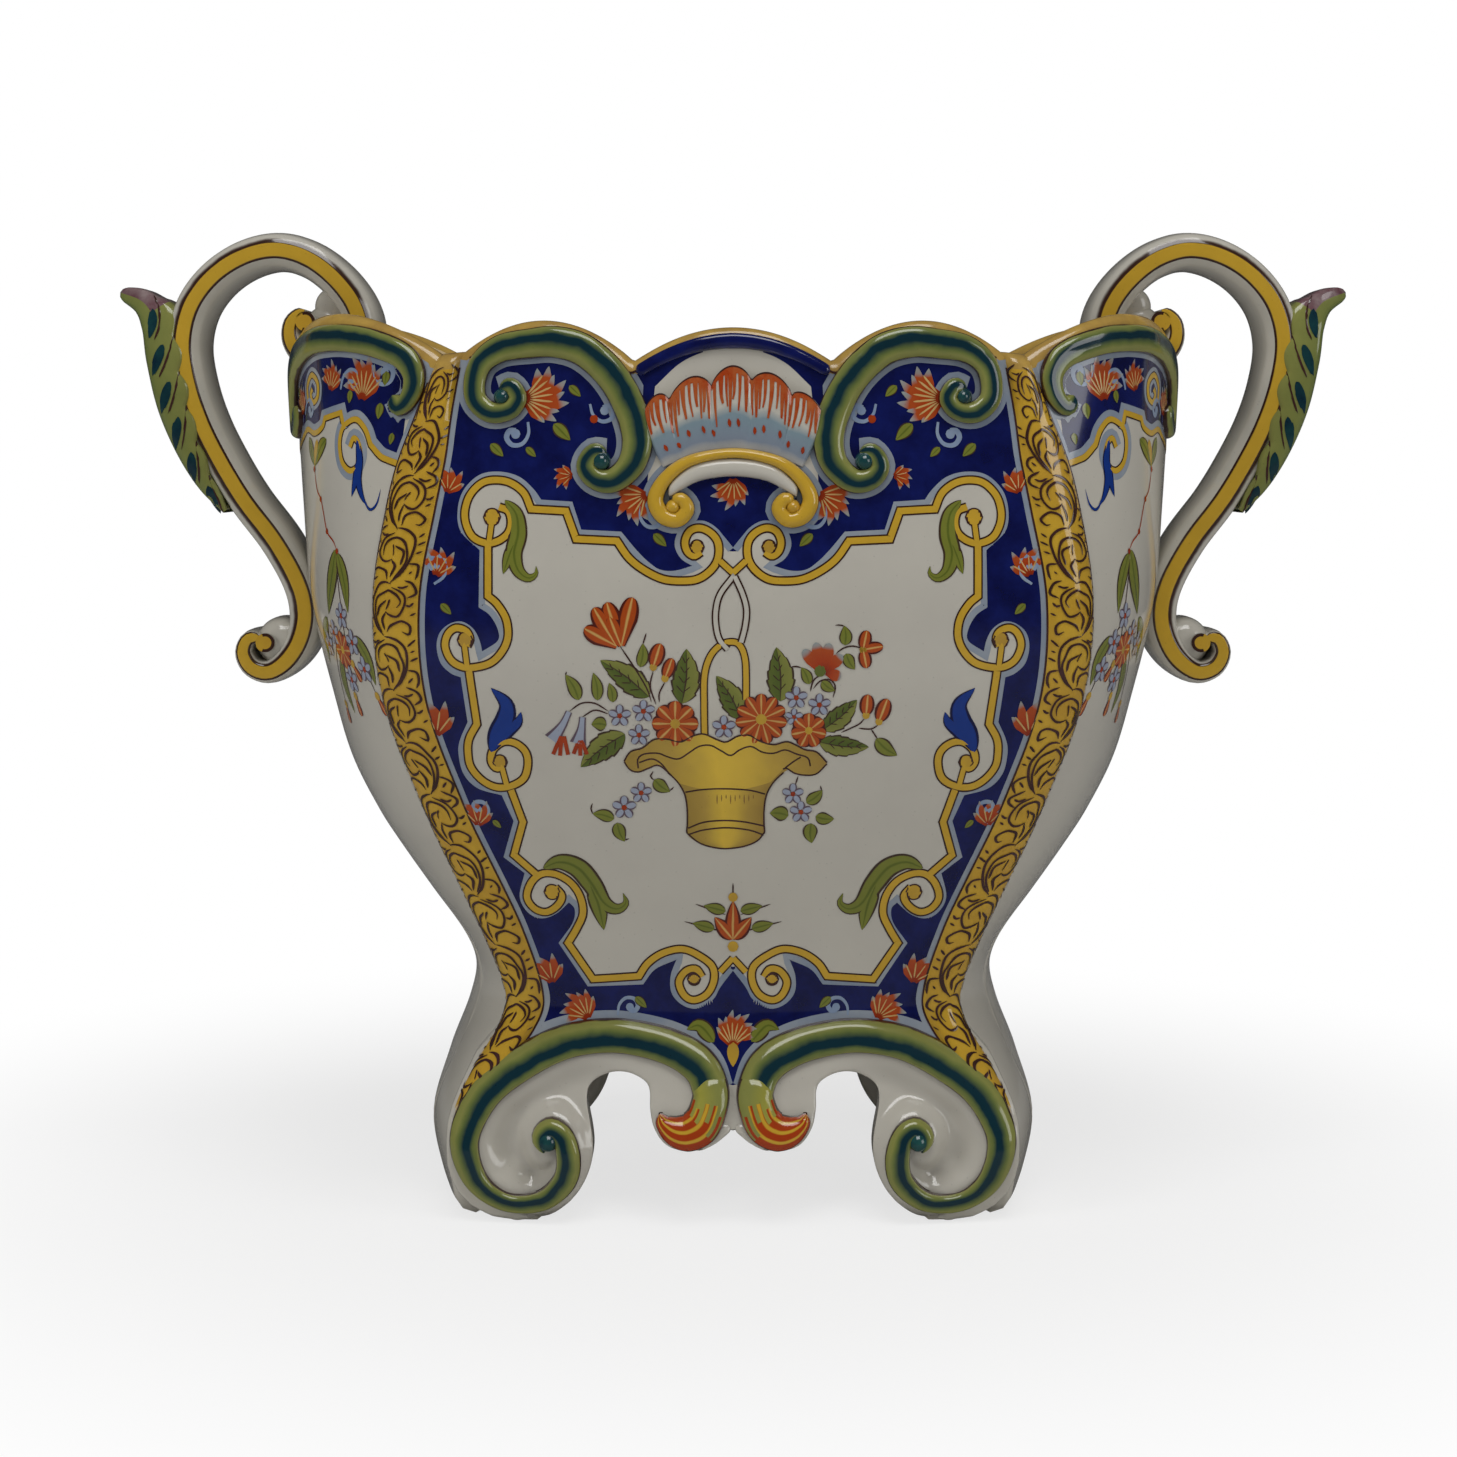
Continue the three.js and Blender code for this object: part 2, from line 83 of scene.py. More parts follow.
# Height and reach of the end panels on the centre line
END = [
    (0, 79), (8, 83), (22, 85.5), (37, 80.5), (50, 75.5), (60, 73.8), (69, 77), (82, 86.5), (95, 95.7),
    (104, 101.5), (119, 109), (136, 114), (163, 120.5), (192, 123.2), (235, 126),
]
BOW = [(0, 7), (57, 8), (150, 12), (232, 10)]
BAND = [(0, 4.5), (30, 5.6), (50, 6.2), (76, 7.6), (110, 7), (166, 7.6), (200, 7.2), (216, 5), (232, 3.2)]


def smooth(rows, column=1):
    """Smooth curve through rows of (height, value, ...)."""
    def slope(a, b):
        return (b[column] - a[column]) / (b[0] - a[0])

    @functools.lru_cache(maxsize=None)
    def value(height):
        z = min(max(height, rows[0][0]), rows[-1][0])
        i = max(k for k in range(len(rows) - 1) if rows[k][0] <= z)
        low, high = rows[i], rows[i + 1]
        span = high[0] - low[0]
        t = (z - low[0]) / span
        m0 = slope(rows[i - 1], high) if i else slope(low, high)
        m1 = slope(low, rows[i + 2]) if i + 2 < len(rows) else slope(low, high)
        return (low[column] * (1 + 2 * t) * (1 - t) ** 2 + m0 * span * t * (1 - t) ** 2
                + high[column] * t * t * (3 - 2 * t) + m1 * span * t * t * (t - 1))
    return value


corner_x = smooth(CORNER, 1)
corner_y = smooth(CORNER, 2)
end_reach = smooth(END)
bow = smooth(BOW)
band_width = smooth(BAND)


def mix(a, b, t):
    return a + (b - a) * t


def soft_step(value):
    """Smooth rise from 0 to 1 as value goes from 0 to 1."""
    share = min(1.0, max(0.0, value))
    return share * share * (3 - 2 * share)


def rounded(share):
    """Height of a quarter circle, 0 at its foot and 1 from where share has reached 1."""
    return math.sqrt(max(0.0, 1 - (1 - min(1.0, share)) ** 2))


def half_width(rows):
    """Half width of a scroll by the share of its length, from its rows of (x, z, half width)."""
    lengths = [0.0]
    for a, b in zip(rows, rows[1:]):
        lengths.append(lengths[-1] + math.dist(a[:2], b[:2]))
    return smooth([(length / lengths[-1], row[2]) for length, row in zip(lengths, rows)])


def arc(half_chord, rise):
    """Radius, half angle and centre of a panel that bows outwards over its chord."""
    radius = (half_chord ** 2 + rise ** 2) / (2 * rise)
    return radius, math.asin(half_chord / radius), rise - radius


@functools.lru_cache(maxsize=None)
def front_arc(z):
    return arc(corner_x(z), bow(z))


@functools.lru_cache(maxsize=None)
def end_arc(z):
    return arc(corner_y(z), end_reach(z) - corner_x(z))


def front_point(u, z, out=0.0):
    """Point of the front panel: u is -1 at its left corner and 1 at its right, out is how proud it stands."""
    radius, angle, centre = front_arc(z)
    turn = u * angle
    return (radius + out) * math.sin(turn), -(corner_y(z) + centre + (radius + out) * math.cos(turn)), z


def front_at(x, z, out=0.0):
    """The front panel addressed by its distance from the centre line."""
    radius, _, centre = front_arc(z)
    return x, -(corner_y(z) + centre + math.sqrt((radius + out) ** 2 - x * x)), z


def end_point(t, z, out=0.0):
    """Point of the right end panel: t is -1 at its front corner and 1 at its back one."""
    radius, angle, centre = end_arc(z)
    turn = t * angle
    return corner_x(z) + centre + (radius + out) * math.cos(turn), (radius + out) * math.sin(turn), z


def end_length(z):
    """Length of the end panel from its middle to a corner."""
    radius, angle, _ = end_arc(z)
    return radius * angle


def end_at(along, z, out=0.0):
    """The right end panel addressed by the distance along it from its middle, negative towards the front."""
    return end_point(along / end_length(z), z, out)


def front_share(z, distance):
    """Share u of the front panel's edge that lies a distance short of the corner."""
    radius, angle, _ = front_arc(z)
    return 1 - distance / (radius * angle)


def end_share(z, distance):
    return 1 - distance / end_length(z)


def end_edge(z, distance):
    """Place along the end panel that lies a distance behind its front corner."""
    return -end_share(z, distance) * end_length(z)


def corner_sides(across, z, out):
    """Middle of the corner, and the point that across, times the band's half width, reaches on its side."""
    reach = abs(across) * band_width(z)
    on_front = Vector(front_point(front_share(z, reach if across < 0 else 0), z, out))
    on_end = Vector(end_point(-end_share(z, reach if across > 0 else 0), z, out))
    return (on_front + on_end) / 2, on_front if across < 0 else on_end


def band_at(across, z, out=0.0):
    """Point of the front right corner band: across is -1 at its edge on the front and 1 on the end panel."""
    crown = BAND_CROWN * max(0.0, 1 - across ** 4) * min(1.0, max(0.0, (z - 20) / 20))
    corner, side = corner_sides(across, z, out + crown)
    return corner.lerp(side, soft_step(abs(across) / 0.35)) if abs(across) < 0.35 else side


def scallop(t):
    return 1 - t * t


def front_rim(u):
    side = abs(u)
    if side < ARCH_SPAN:
        return RIM_VALLEY + FRONT_MIDDLE_ARCH * scallop(side / ARCH_SPAN)
    return RIM_VALLEY + FRONT_SIDE_ARCH * scallop((2 * side - ARCH_SPAN - 1) / (1 - ARCH_SPAN))


def end_rim(t):
    return RIM_VALLEY + END_ARCH * scallop(2 * abs(t) - 1)


# Mesh helpers

def patch(mesh, columns, rows, place, slot=0, slot_of=None):
    """Lays a smooth grid into mesh. place(u, v) gives its point in millimetres, for u and v from 0 to 1."""
    verts = bmesh.ops.create_grid(mesh, x_segments=columns, y_segments=rows, size=0.5, calc_uvs=True)["verts"]
    faces = {face for vert in verts for face in vert.link_faces}
    for face in faces:
        middle = face.calc_center_median()
        face.material_index = slot_of(middle.x + 0.5, middle.y + 0.5) if slot_of else slot
        face.smooth = True
    for vert in verts:
        vert.co = Vector(place(vert.co.x + 0.5, vert.co.y + 0.5)) * MM
    return verts


CREASE = 0.9


def new_mesh():
    mesh = bmesh.new()
    mesh.loops.layers.uv.new("UVMap")
    return mesh


def finished(name, mesh, materials, replaces=(), slot="white_glaze", weld=True):
    """Makes the piece from its mesh, riding on the one body."""
    if weld:
        bmesh.ops.remove_doubles(mesh, verts=mesh.verts, dist=0.00002)
    bmesh.ops.dissolve_degenerate(mesh, edges=mesh.edges, dist=0.000001)
    for edge in mesh.edges:
        if len(edge.link_faces) == 2 and edge.calc_face_angle(0) > CREASE:
            edge.smooth = False
    data = bpy.data.meshes.new(name)
    mesh.to_mesh(data)
    mesh.free()
    return place_piece(name, data, materials, replaces, slot)


def place_piece(name, data, materials, replaces=(), slot="white_glaze"):
    """Adds a visible piece to the scene, ties it to the body and hides the solids that it replaces."""
    piece = bpy.data.objects.new(name, data)
    bpy.context.scene.collection.objects.link(piece)
    for material in materials:
        if material.name not in data.materials:
            data.materials.append(material)
    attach(piece, "root")
    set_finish(piece, slot)
    if replaces:
        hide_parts(*replaces)
    return piece


def copy_piece(piece, name, matrix, replaces=()):
    """Copy of a piece on another side of the object; a mirrored one has its faces turned back."""
    data = piece.data.copy()
    data.transform(matrix)
    if matrix.determinant() < 0:
        data.flip_normals()
    return place_piece(name, data, [], replaces, piece.get("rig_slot", "white_glaze"))


MIRROR = Matrix.Scale(-1, 4, (1, 0, 0))
TURN = Matrix.Rotation(math.pi, 4, "Z")
CORNERS = {"front_left": MIRROR, "back_left": TURN, "back_right": TURN @ MIRROR}


def on_every_corner(piece, stem, node=""):
    """Repeats a front right piece on the other three corners."""
    for corner, matrix in CORNERS.items():
        copy_piece(piece, f"{stem}_{corner}", matrix, [f"{node}_{corner}"] if node else ())


def spline(points, count):
    """count + 1 evenly spaced points, with tangents, on a smooth curve through points given in the plane."""
    points = [Vector(p) for p in points]
    fine = []
    for i in range(len(points) - 1):
        before = points[i - 1] if i else points[i] * 2 - points[i + 1]
        after = points[i + 2] if i + 2 < len(points) else points[i + 1] * 2 - points[i]
        a, b = points[i], points[i + 1]
        fine += interpolate_bezier(a, a + (b - before) / 6, b - (after - a) / 6, b, 16)[:-1]
    fine.append(points[-1])
    lengths = [0.0]
    for a, b in zip(fine, fine[1:]):
        lengths.append(lengths[-1] + (b - a).length)
    out, k = [], 0
    for i in range(count + 1):
        want = lengths[-1] * i / count
        while k < len(fine) - 2 and lengths[k + 1] < want:
            k += 1
        step = max(1e-9, lengths[k + 1] - lengths[k])
        place = fine[k].lerp(fine[k + 1], (want - lengths[k]) / step)
        out.append((place, (fine[k + 1] - fine[k]).normalized()))
    return out


# Materials

def feed(node, inputs):
    """Gives each named input a constant, or a link where the value is another node's output."""
    for name, value in inputs.items():
        if isinstance(value, bpy.types.NodeSocket):
            node.id_data.links.new(value, node.inputs[name])
        else:
            node.inputs[name].default_value = value


def shader_node(tree, kind, inputs=None, **settings):
    """Adds a node, changes its settings and feeds its inputs."""
    node = tree.nodes.new("ShaderNode" + kind)
    for name, value in settings.items():
        setattr(node, name, value)
    feed(node, inputs or {})
    return node


def make_glaze_group():
    """Pooled, slightly speckled glaze: a colour that varies, and the height of its faint ripple."""
    group = bpy.data.node_groups.new("pooled_glaze", "ShaderNodeTree")
    plain = (1, 1, 1, 1)
    inputs = [("Colour", "Color", plain), ("Deep colour", "Color", plain), ("Pooling", "Float", 0.5),
              ("Grain size", "Float", 60.0)]
    for label, kind, default in inputs:
        socket = group.interface.new_socket(label, in_out="INPUT", socket_type="NodeSocket" + kind)
        socket.default_value = default
    for label, kind in (("Colour", "Color"), ("Height", "Float")):
        group.interface.new_socket(label, in_out="OUTPUT", socket_type="NodeSocket" + kind)
    given = group.nodes.new("NodeGroupInput").outputs
    end = group.nodes.new("NodeGroupOutput")
    place = shader_node(group, "TexCoord").outputs["Object"]
    broad = shader_node(group, "TexNoise", {
        "Vector": place, "Scale": given["Grain size"], "Detail": 4.0, "Roughness": 0.6})
    spread = shader_node(group, "MapRange", {
        "Value": broad.outputs["Fac"], "From Min": 0.35, "From Max": 0.68})
    amount = shader_node(group, "Math", {
        0: spread.outputs["Result"], 1: given["Pooling"]}, operation="MULTIPLY")
    pool = shader_node(group, "Mix", {
        "Factor": amount.outputs[0], "A": given["Colour"], "B": given["Deep colour"]}, data_type="RGBA")
    specks = shader_node(group, "TexVoronoi", {"Vector": place, "Scale": 420.0})
    pits = shader_node(group, "MapRange", {
        "Value": specks.outputs["Distance"], "From Min": 0.05, "From Max": 0.11, "To Min": 0.86})
    speckled = multiplied(group, pool.outputs["Result"], pits.outputs["Result"])
    ripple = shader_node(group, "TexNoise", {"Vector": place, "Scale": 45.0, "Detail": 2.0})
    feed(end, {"Colour": speckled, "Height": ripple.outputs["Fac"]})
    return group


def multiplied(tree, first, second):
    """Product of two colours."""
    inputs = {"Factor": 1.0, "A": first, "B": second}
    return shader_node(tree, "Mix", inputs, data_type="RGBA", blend_type="MULTIPLY").outputs["Result"]


GLAZE_GROUP = make_glaze_group()
RIPPLE_BUMP = 0.12
RIPPLE_DEPTH = 0.0006


def glaze(name, colour, deep, pooling=0.5, grain=60.0, roughness=0.14, stripes=None, axis="Y", waver=0.03):
    """Glossy glazed enamel. stripes, if given, colour the piece across its own UV map."""
    material = bpy.data.materials.new(name)
    material.use_nodes = True
    tree = material.node_tree
    pooled = shader_node(tree, "Group", {
        "Pooling": pooling, "Grain size": grain, "Colour": (*colour, 1), "Deep colour": (*deep, 1),
    }, node_tree=GLAZE_GROUP)
    look = pooled.outputs["Colour"]
    if stripes:
        look = multiplied(tree, stripe_bands(tree, stripes, axis, waver), look)
    bump = shader_node(tree, "Bump", {
        "Height": pooled.outputs["Height"], "Strength": RIPPLE_BUMP, "Distance": RIPPLE_DEPTH})
    feed(tree.nodes["Principled BSDF"], {
        "Base Color": look, "Normal": bump.outputs["Normal"], "Roughness": roughness,
        "Coat Weight": 0.6, "Coat Roughness": 0.05})
    return material


def striped(name, pooling, grain, bands, scale=1.0, **settings):
    """Glaze in bands across the UV map, each given as its colour and the place or places of its stops."""
    stops = [(place * scale, colour) for colour, *places in bands for place in places]
    return glaze(name, PLAIN, PLAIN_DEEP, pooling, grain, stripes=stops, **settings)


def stripe_bands(tree, stripes, axis, waver):
    """Colours across the UV map, as (place, colour) pairs, with edges that waver like a brush line."""
    coordinates = shader_node(tree, "TexCoord")
    split = shader_node(tree, "SeparateXYZ", {"Vector": coordinates.outputs["UV"]})
    noise = shader_node(tree, "TexNoise", {"Vector": coordinates.outputs["Object"], "Scale": 160.0})
    offset = shader_node(tree, "MapRange", {"Value": noise.outputs["Fac"], "To Min": -waver, "To Max": waver})
    place = shader_node(tree, "Math", {0: split.outputs[axis], 1: offset.outputs["Result"]})
    ramp = shader_node(tree, "ValToRGB", {"Fac": place.outputs[0]})
    elements = ramp.color_ramp.elements
    elements.remove(elements[1])
    elements[0].position, elements[0].color = stripes[0][0], (*stripes[0][1], 1)
    for position, colour in stripes[1:]:
        elements.new(position).color = (*colour, 1)
    return ramp.outputs["Color"]


CREAM = (0.61, 0.58, 0.505)
CREAM_DEEP = (0.50, 0.47, 0.42)
COBALT = (0.002, 0.004, 0.060)
COBALT_LIGHT = (0.006, 0.013, 0.135)
OCHRE = (0.64, 0.39, 0.035)
OCHRE_DEEP = (0.48, 0.25, 0.03)
INK_GREEN = (0.004, 0.03, 0.045)
MANGANESE = (0.045, 0.018, 0.012)
PALE_BLUE = (0.25, 0.30, 0.38)
BRICK = (0.42, 0.050, 0.007)
BRICK_DEEP = (0.26, 0.025, 0.006)
PLAIN = (1.0, 1.0, 1.0)
PLAIN_DEEP = (0.86, 0.86, 0.86)

white = glaze("tin_glaze_cream", CREAM, CREAM_DEEP, 0.35, 26.0)
cobalt = glaze("cobalt_ground", COBALT, COBALT_LIGHT, 0.75, 110.0)
ochre = glaze("ochre_yellow", OCHRE, OCHRE_DEEP, 0.55, 90.0)
rim_gold = glaze("worn_rim_ochre", (0.58, 0.37, 0.08), (0.30, 0.17, 0.05), 0.6, 110.0, 0.22)

# Body: one continuous skin over the walls, bands, floor and end aprons

OUTER_ROWS, LIP_ROWS, INNER_ROWS, FOOT_ROWS = 150, 8, 14, 8
LIP = WALL / 2
BAND_COLUMNS, FRONT_COLUMNS, END_COLUMNS = 10, 84, 36
FLOOR_COLUMNS, FLOOR_ROWS = 80, 6


def skin_profile(row, bottom, top, thick_low):
    """Height and depth below the surface, from inside the foot edge round it, up, over the rim and down."""
    if row <= FOOT_ROWS:
        k = row / FOOT_ROWS
        low = bottom + thick_low / 2
        if k < 0.5:
            return mix(WAIST - 2, low, k / 0.5), -thick_low
        turn = math.pi * (k - 0.5) / 0.5
        return low - thick_low / 2 * math.sin(turn), -thick_low / 2 * (1 + math.cos(turn))
    row -= FOOT_ROWS
    start = bottom + thick_low / 2
    if row <= OUTER_ROWS:
        return mix(start, top - LIP, row / OUTER_ROWS), 0.0
    row -= OUTER_ROWS
    if row <= LIP_ROWS:
        turn = math.pi * row / LIP_ROWS
        return top - LIP + LIP * math.sin(turn), -LIP * (1 - math.cos(turn))
    return mix(top - LIP, FLOOR_TOP - 1, (row - LIP_ROWS) / INNER_ROWS), -WALL


BAND_FOOT = 27.0
FRONT_FOOT_THICKNESS = 3.0
SKIN_WELD = 0.00003
SKIN_ROWS = FOOT_ROWS + OUTER_ROWS + LIP_ROWS + INNER_ROWS
BODY_WHITE, BODY_COBALT, BODY_OCHRE, BODY_RIM = range(4)
RIM_FRONT_SHARE = front_share(RIM_VALLEY, band_width(RIM_VALLEY))
RIM_END_SHARE = end_share(RIM_VALLEY, band_width(RIM_VALLEY))
FRONT_BOTTOM = smooth([(0, 25), (0.10, 27), (0.14, 35), (0.19, 41), (0.32, 45), (0.5, 46.5), (0.69, 45),
                       (0.82, 41), (0.9, 35), (0.96, 28), (1.0, 24)])


def end_bottom(t):
    """Lower edge of the end panel: an arch between the legs."""
    half = 0.52
    return APRON_ARCH * math.sqrt(max(0.0, 1 - (t / half) ** 2))


def front_profile(u, row):
    """Height and depth in a row of the front panel, for u from 0 on the middle line to 1 at the band."""
    return skin_profile(row, FRONT_BOTTOM(round(u, 5)), front_rim(u * RIM_FRONT_SHARE), FRONT_FOOT_THICKNESS)


def inner_band(across, z, out):
    """Point of the corner's plain inside, behind the band."""
    corner, side = corner_sides(across, z, out)
    return mix(corner, side, min(1.0, abs(across) / 0.4))


def body_skin():
    """One quarter of the skin from the middle of the front to the middle of the right end, mirrored twice."""
    mesh = new_mesh()

    def front(u, v):
        z, out = front_profile(u, round(v * SKIN_ROWS))
        return front_point(u * front_share(z, band_width(z)), z, out)

    def band(u, v):
        row = round(v * SKIN_ROWS)
        bottom = mix(FRONT_BOTTOM(1.0), 0.0, u)
        top = mix(front_rim(RIM_FRONT_SHARE), end_rim(RIM_END_SHARE), u)
        z, out = skin_profile(row, bottom, top, mix(FRONT_FOOT_THICKNESS, APRON_THICKNESS, u))
        across = 2 * u - 1
        inner = inner_band(across, z, out)
        if row < FOOT_ROWS or row > FOOT_ROWS + OUTER_ROWS + LIP_ROWS:
            return inner
        fade = 1 - max(0, row - FOOT_ROWS - OUTER_ROWS) / LIP_ROWS
        return inner.lerp(Vector(band_at(across, z, out)), fade)

    def end(u, v):
        share = 1 - u
        z, out = skin_profile(round(v * SKIN_ROWS), end_bottom(share), end_rim(share * RIM_END_SHARE),
                              APRON_THICKNESS)
        return end_point(-share * end_share(z, band_width(z)), z, out)

    lip_start = (FOOT_ROWS + OUTER_ROWS - 1.2) / SKIN_ROWS
    lip_end = (FOOT_ROWS + OUTER_ROWS + LIP_ROWS) / SKIN_ROWS

    def slot_for(ground):
        def slot_of(u, v):
            if lip_start < v < lip_end:
                return BODY_RIM
            return ground if (FOOT_ROWS - 3) / SKIN_ROWS < v < lip_start else BODY_WHITE
        return slot_of

    def front_slot(u, v):
        slot = slot_for(BODY_COBALT)(u, v)
        z = front_profile(u, v * SKIN_ROWS)[0]
        if slot == BODY_COBALT and not is_cobalt(front_point(u * front_share(z, band_width(z)), z)[0], z):
            return BODY_WHITE
        return slot

    def band_slot(u, v):
        slot = slot_for(BODY_OCHRE)(u, v)
        z = skin_profile(v * SKIN_ROWS, mix(FRONT_BOTTOM(1.0), 0.0, u), RIM_VALLEY, FRONT_FOOT_THICKNESS)[0]
        return BODY_WHITE if slot == BODY_OCHRE and z < BAND_FOOT else slot

    patch(mesh, FRONT_COLUMNS, SKIN_ROWS, front, slot_of=front_slot)
    patch(mesh, BAND_COLUMNS, SKIN_ROWS, band, slot_of=band_slot)
    patch(mesh, END_COLUMNS, SKIN_ROWS, end, slot_of=slot_for(BODY_WHITE))

    def floor(u, v):
        z = FLOOR_TOP - 1
        if u < 0.5:
            edge = Vector(front_point(u / 0.5, z, -WALL))
        else:
            edge = Vector(end_point(-(1 - (u - 0.5) / 0.5), z, -WALL))
        return Vector((0, 0, FLOOR_TOP)).lerp(edge, v)

    patch(mesh, FLOOR_COLUMNS, FLOOR_ROWS, floor)
    bmesh.ops.remove_doubles(mesh, verts=mesh.verts, dist=SKIN_WELD)
    for axis in ("X", "Y"):
        quarter = mesh.verts[:] + mesh.edges[:] + mesh.faces[:]
        bmesh.ops.mirror(mesh, geom=quarter, merge_dist=SKIN_WELD, axis=axis)
    bmesh.ops.recalc_face_normals(mesh, faces=mesh.faces)
    nodes = ["wall_front", "wall_back", "wall_left", "wall_right", "floor_slab"]
    nodes += ["end_apron_left", "end_apron_right"]
    nodes += [f"corner_band_{corner}" for corner in ("front_right", *CORNERS)]
    return finished("glazed_body", mesh, [white, cobalt, ochre, rim_gold], nodes)


# Applied mouldings: closed rolls that lie on the surface and carry brushed stripes across their width

TOP_SHARE = 0.64
ROOT = 1.0
ROLL_COLUMNS = 22


def roll_section(v):
    """Place across the roll, from -1 to 1, and its height, negative underneath, for v once round it."""
    if v <= TOP_SHARE:
        across = -math.cos(math.pi * v / TOP_SHARE)
        return across, max(0.0, 1 - abs(across) ** 2.6) ** 0.5
    return 1 - 2 * (v - TOP_SHARE) / (1 - TOP_SHARE), -1.0


def roll(mesh, path, height, place, count, groove=0.0, end_shares=(0.06, 0.06), slot_of=None):
    """Rounded roll along a path of (x, z, half width), with round ends and a groove down its middle."""
    line = spline([(x, z) for x, z, _ in path], count)
    half = half_width(path)

    def point(u, v):
        centre, along = line[round(u * count)]
        across, up = roll_section(v)
        ends = min(1.0, u / end_shares[0] + 0.02, (1 - u) / end_shares[1] + 0.02)
        full = rounded(ends)
        reach = half(round(u, 6)) * across * full
        dip = groove * math.exp(-(across / 0.45) ** 2)
        out = (height * (up - dip)) * (0.35 + 0.65 * full) if up >= 0 else -ROOT
        return place(centre.x - along.y * reach, centre.y + along.x * reach, out)

    patch(mesh, count, ROLL_COLUMNS, point, slot_of=slot_of)


def knob(mesh, x, z, radius, height, place, slot=0):
    """Domed eye at the heart of a volute."""
    def point(u, v):
        turn, reach = 2 * math.pi * u, math.sin(math.pi / 2 * v)
        out = height * math.cos(math.pi / 2 * v) - ROOT * v ** 6
        return place(x + radius * reach * math.cos(turn), z + radius * reach * math.sin(turn), out)

    patch(mesh, 24, 8, point, slot=slot)


LEAF_GREEN = (0.14, 0.18, 0.05)
LIME = (0.27, 0.28, 0.075)
OCHRE_GREEN = (0.38, 0.36, 0.06)
scroll_green = striped("scroll_green", 0.5, 90.0, [
    (MANGANESE, 0.0, 0.10), (LIME, 0.14), (LEAF_GREEN, 0.28), (INK_GREEN, 0.36, 0.49), (LEAF_GREEN, 0.60),
    (LIME, 0.70, 0.85), (MANGANESE, 0.89, 1.0)], TOP_SHARE, waver=0.045)
ink = glaze("volute_ink_green", INK_GREEN, (0.02, 0.10, 0.09), 0.8, 200.0)
arch_gold = striped("arch_gold", 0.4, 120.0, [
    (MANGANESE, 0.0, 0.13), (OCHRE, 0.16, 0.84), (MANGANESE, 0.87, 1.0)], TOP_SHARE)

# Centre lines of the applied scrolls on the right half, as distance from the middle, height and half width,
# those of the end panel negative towards its front corner
FOOT_SCROLL = [
    (6.9, 29.6, 5.0), (5.9, 34.4, 5.0), (8.8, 40.8, 4.9), (16.5, 45.3, 4.6), (27.5, 47.7, 4.4),
    (36.9, 47.7, 4.3), (46.9, 45.5, 4.3), (57.5, 40.2, 4.4), (66, 33.9, 4.5), (71.0, 25.4, 4.3),
    (71.6, 18.5, 4.0), (68.7, 11, 3.5), (63.3, 6.3, 2.9), (57, 4.8, 2.7), (50.1, 6.3, 2.9), (44.8, 11.6, 3.3),
    (43.7, 17.9, 3.4), (45.3, 23.2, 3.1), (48.5, 25.4, 2.8), (51.2, 23.2, 2.6), (50.3, 19.2, 2.0),
]
FOOT_LEAF = [
    (19.6, 29.4, 1.0), (18.4, 27.2, 2.4), (15.6, 25.4, 3.9), (12.2, 24.9, 4.8), (8.7, 26.6, 5.2),
    (6.8, 30.0, 5.1), (5.9, 34.4, 5.05), (7.4, 38.8, 5.0),
]
RIM_SCROLL = [
    (61.9, 222.1, 2.2), (58.9, 222.8, 2.6), (57, 219.8, 2.7), (59.2, 216.6, 2.8), (64.1, 216, 3.0),
    (68.1, 219.4, 3.1), (68.6, 224.7, 3.2), (66.6, 229.6, 3.4), (61.5, 233, 3.8), (54, 234.2, 4.1),
    (47.2, 234.6, 4.3), (40.4, 232.8, 4.4), (34.4, 228.3, 4.4), (29.8, 222.4, 4.4), (26.3, 214.9, 4.4),
    (25.1, 208.1, 4.2), (26.8, 202.1, 3.8), (31.3, 198.1, 3.4), (35.9, 198.5, 3.1), (38.4, 201.7, 2.9),
    (36.6, 205.3, 2.6), (33.2, 205.5, 2.3),
]
END_SCROLL = [
    (-69.5, 220.5, 2.4), (-72.3, 217.6, 2.7), (-75.2, 220.8, 3.0), (-75.4, 226.2, 3.3), (-72, 230.8, 3.6),
    (-66, 233.6, 3.8), (-57, 235.8, 3.9), (-46.5, 236.6, 3.9), (-35, 235.8, 3.9), (-24, 232.2, 3.9),
    (-15.5, 226.4, 3.8), (-11.2, 219.8, 3.5), (-12.2, 213.8, 3.1), (-17, 212, 2.8), (-20.6, 214.8, 2.6),
    (-19, 218.4, 2.2),
]
ARCH_GOLD_HALF = [(0, 205.2, 1.5), (10.9, 203.3, 1.7), (17.2, 199, 2.0), (20.2, 193.6, 2.3),
                  (18.6, 189.2, 2.4), (14.6, 187.9, 2.3), (12.0, 190.6, 2.2), (13.6, 193.2, 2.0),
                  (15.8, 192.4, 1.7)]
ARCH_WHITE_HALF = [(0, 201.6, 2.5), (9, 200.3, 2.4), (14.6, 196.8, 1.8), (16.6, 194, 1.0)]


def both_halves(half):
    """The whole path of a moulding, from the rows of its right half."""
    return [(-x, z, width) for x, z, width in reversed(half[1:])] + half


RELIEF = 3.2
END_RELIEF = 2.8


def scroll(name, path, height, place, count, end_shares, eyes=()):
    """Green scroll with a groove down its middle, and a domed eye in each volute that has one."""
    mesh = new_mesh()
    roll(mesh, path, height, place, count, groove=0.12, end_shares=end_shares)
    for x, z, radius, proud in eyes:
        knob(mesh, x, z, radius, height + proud, place, slot=1)
    return finished(name, mesh, [scroll_green, ink], [name], "green_enamel")


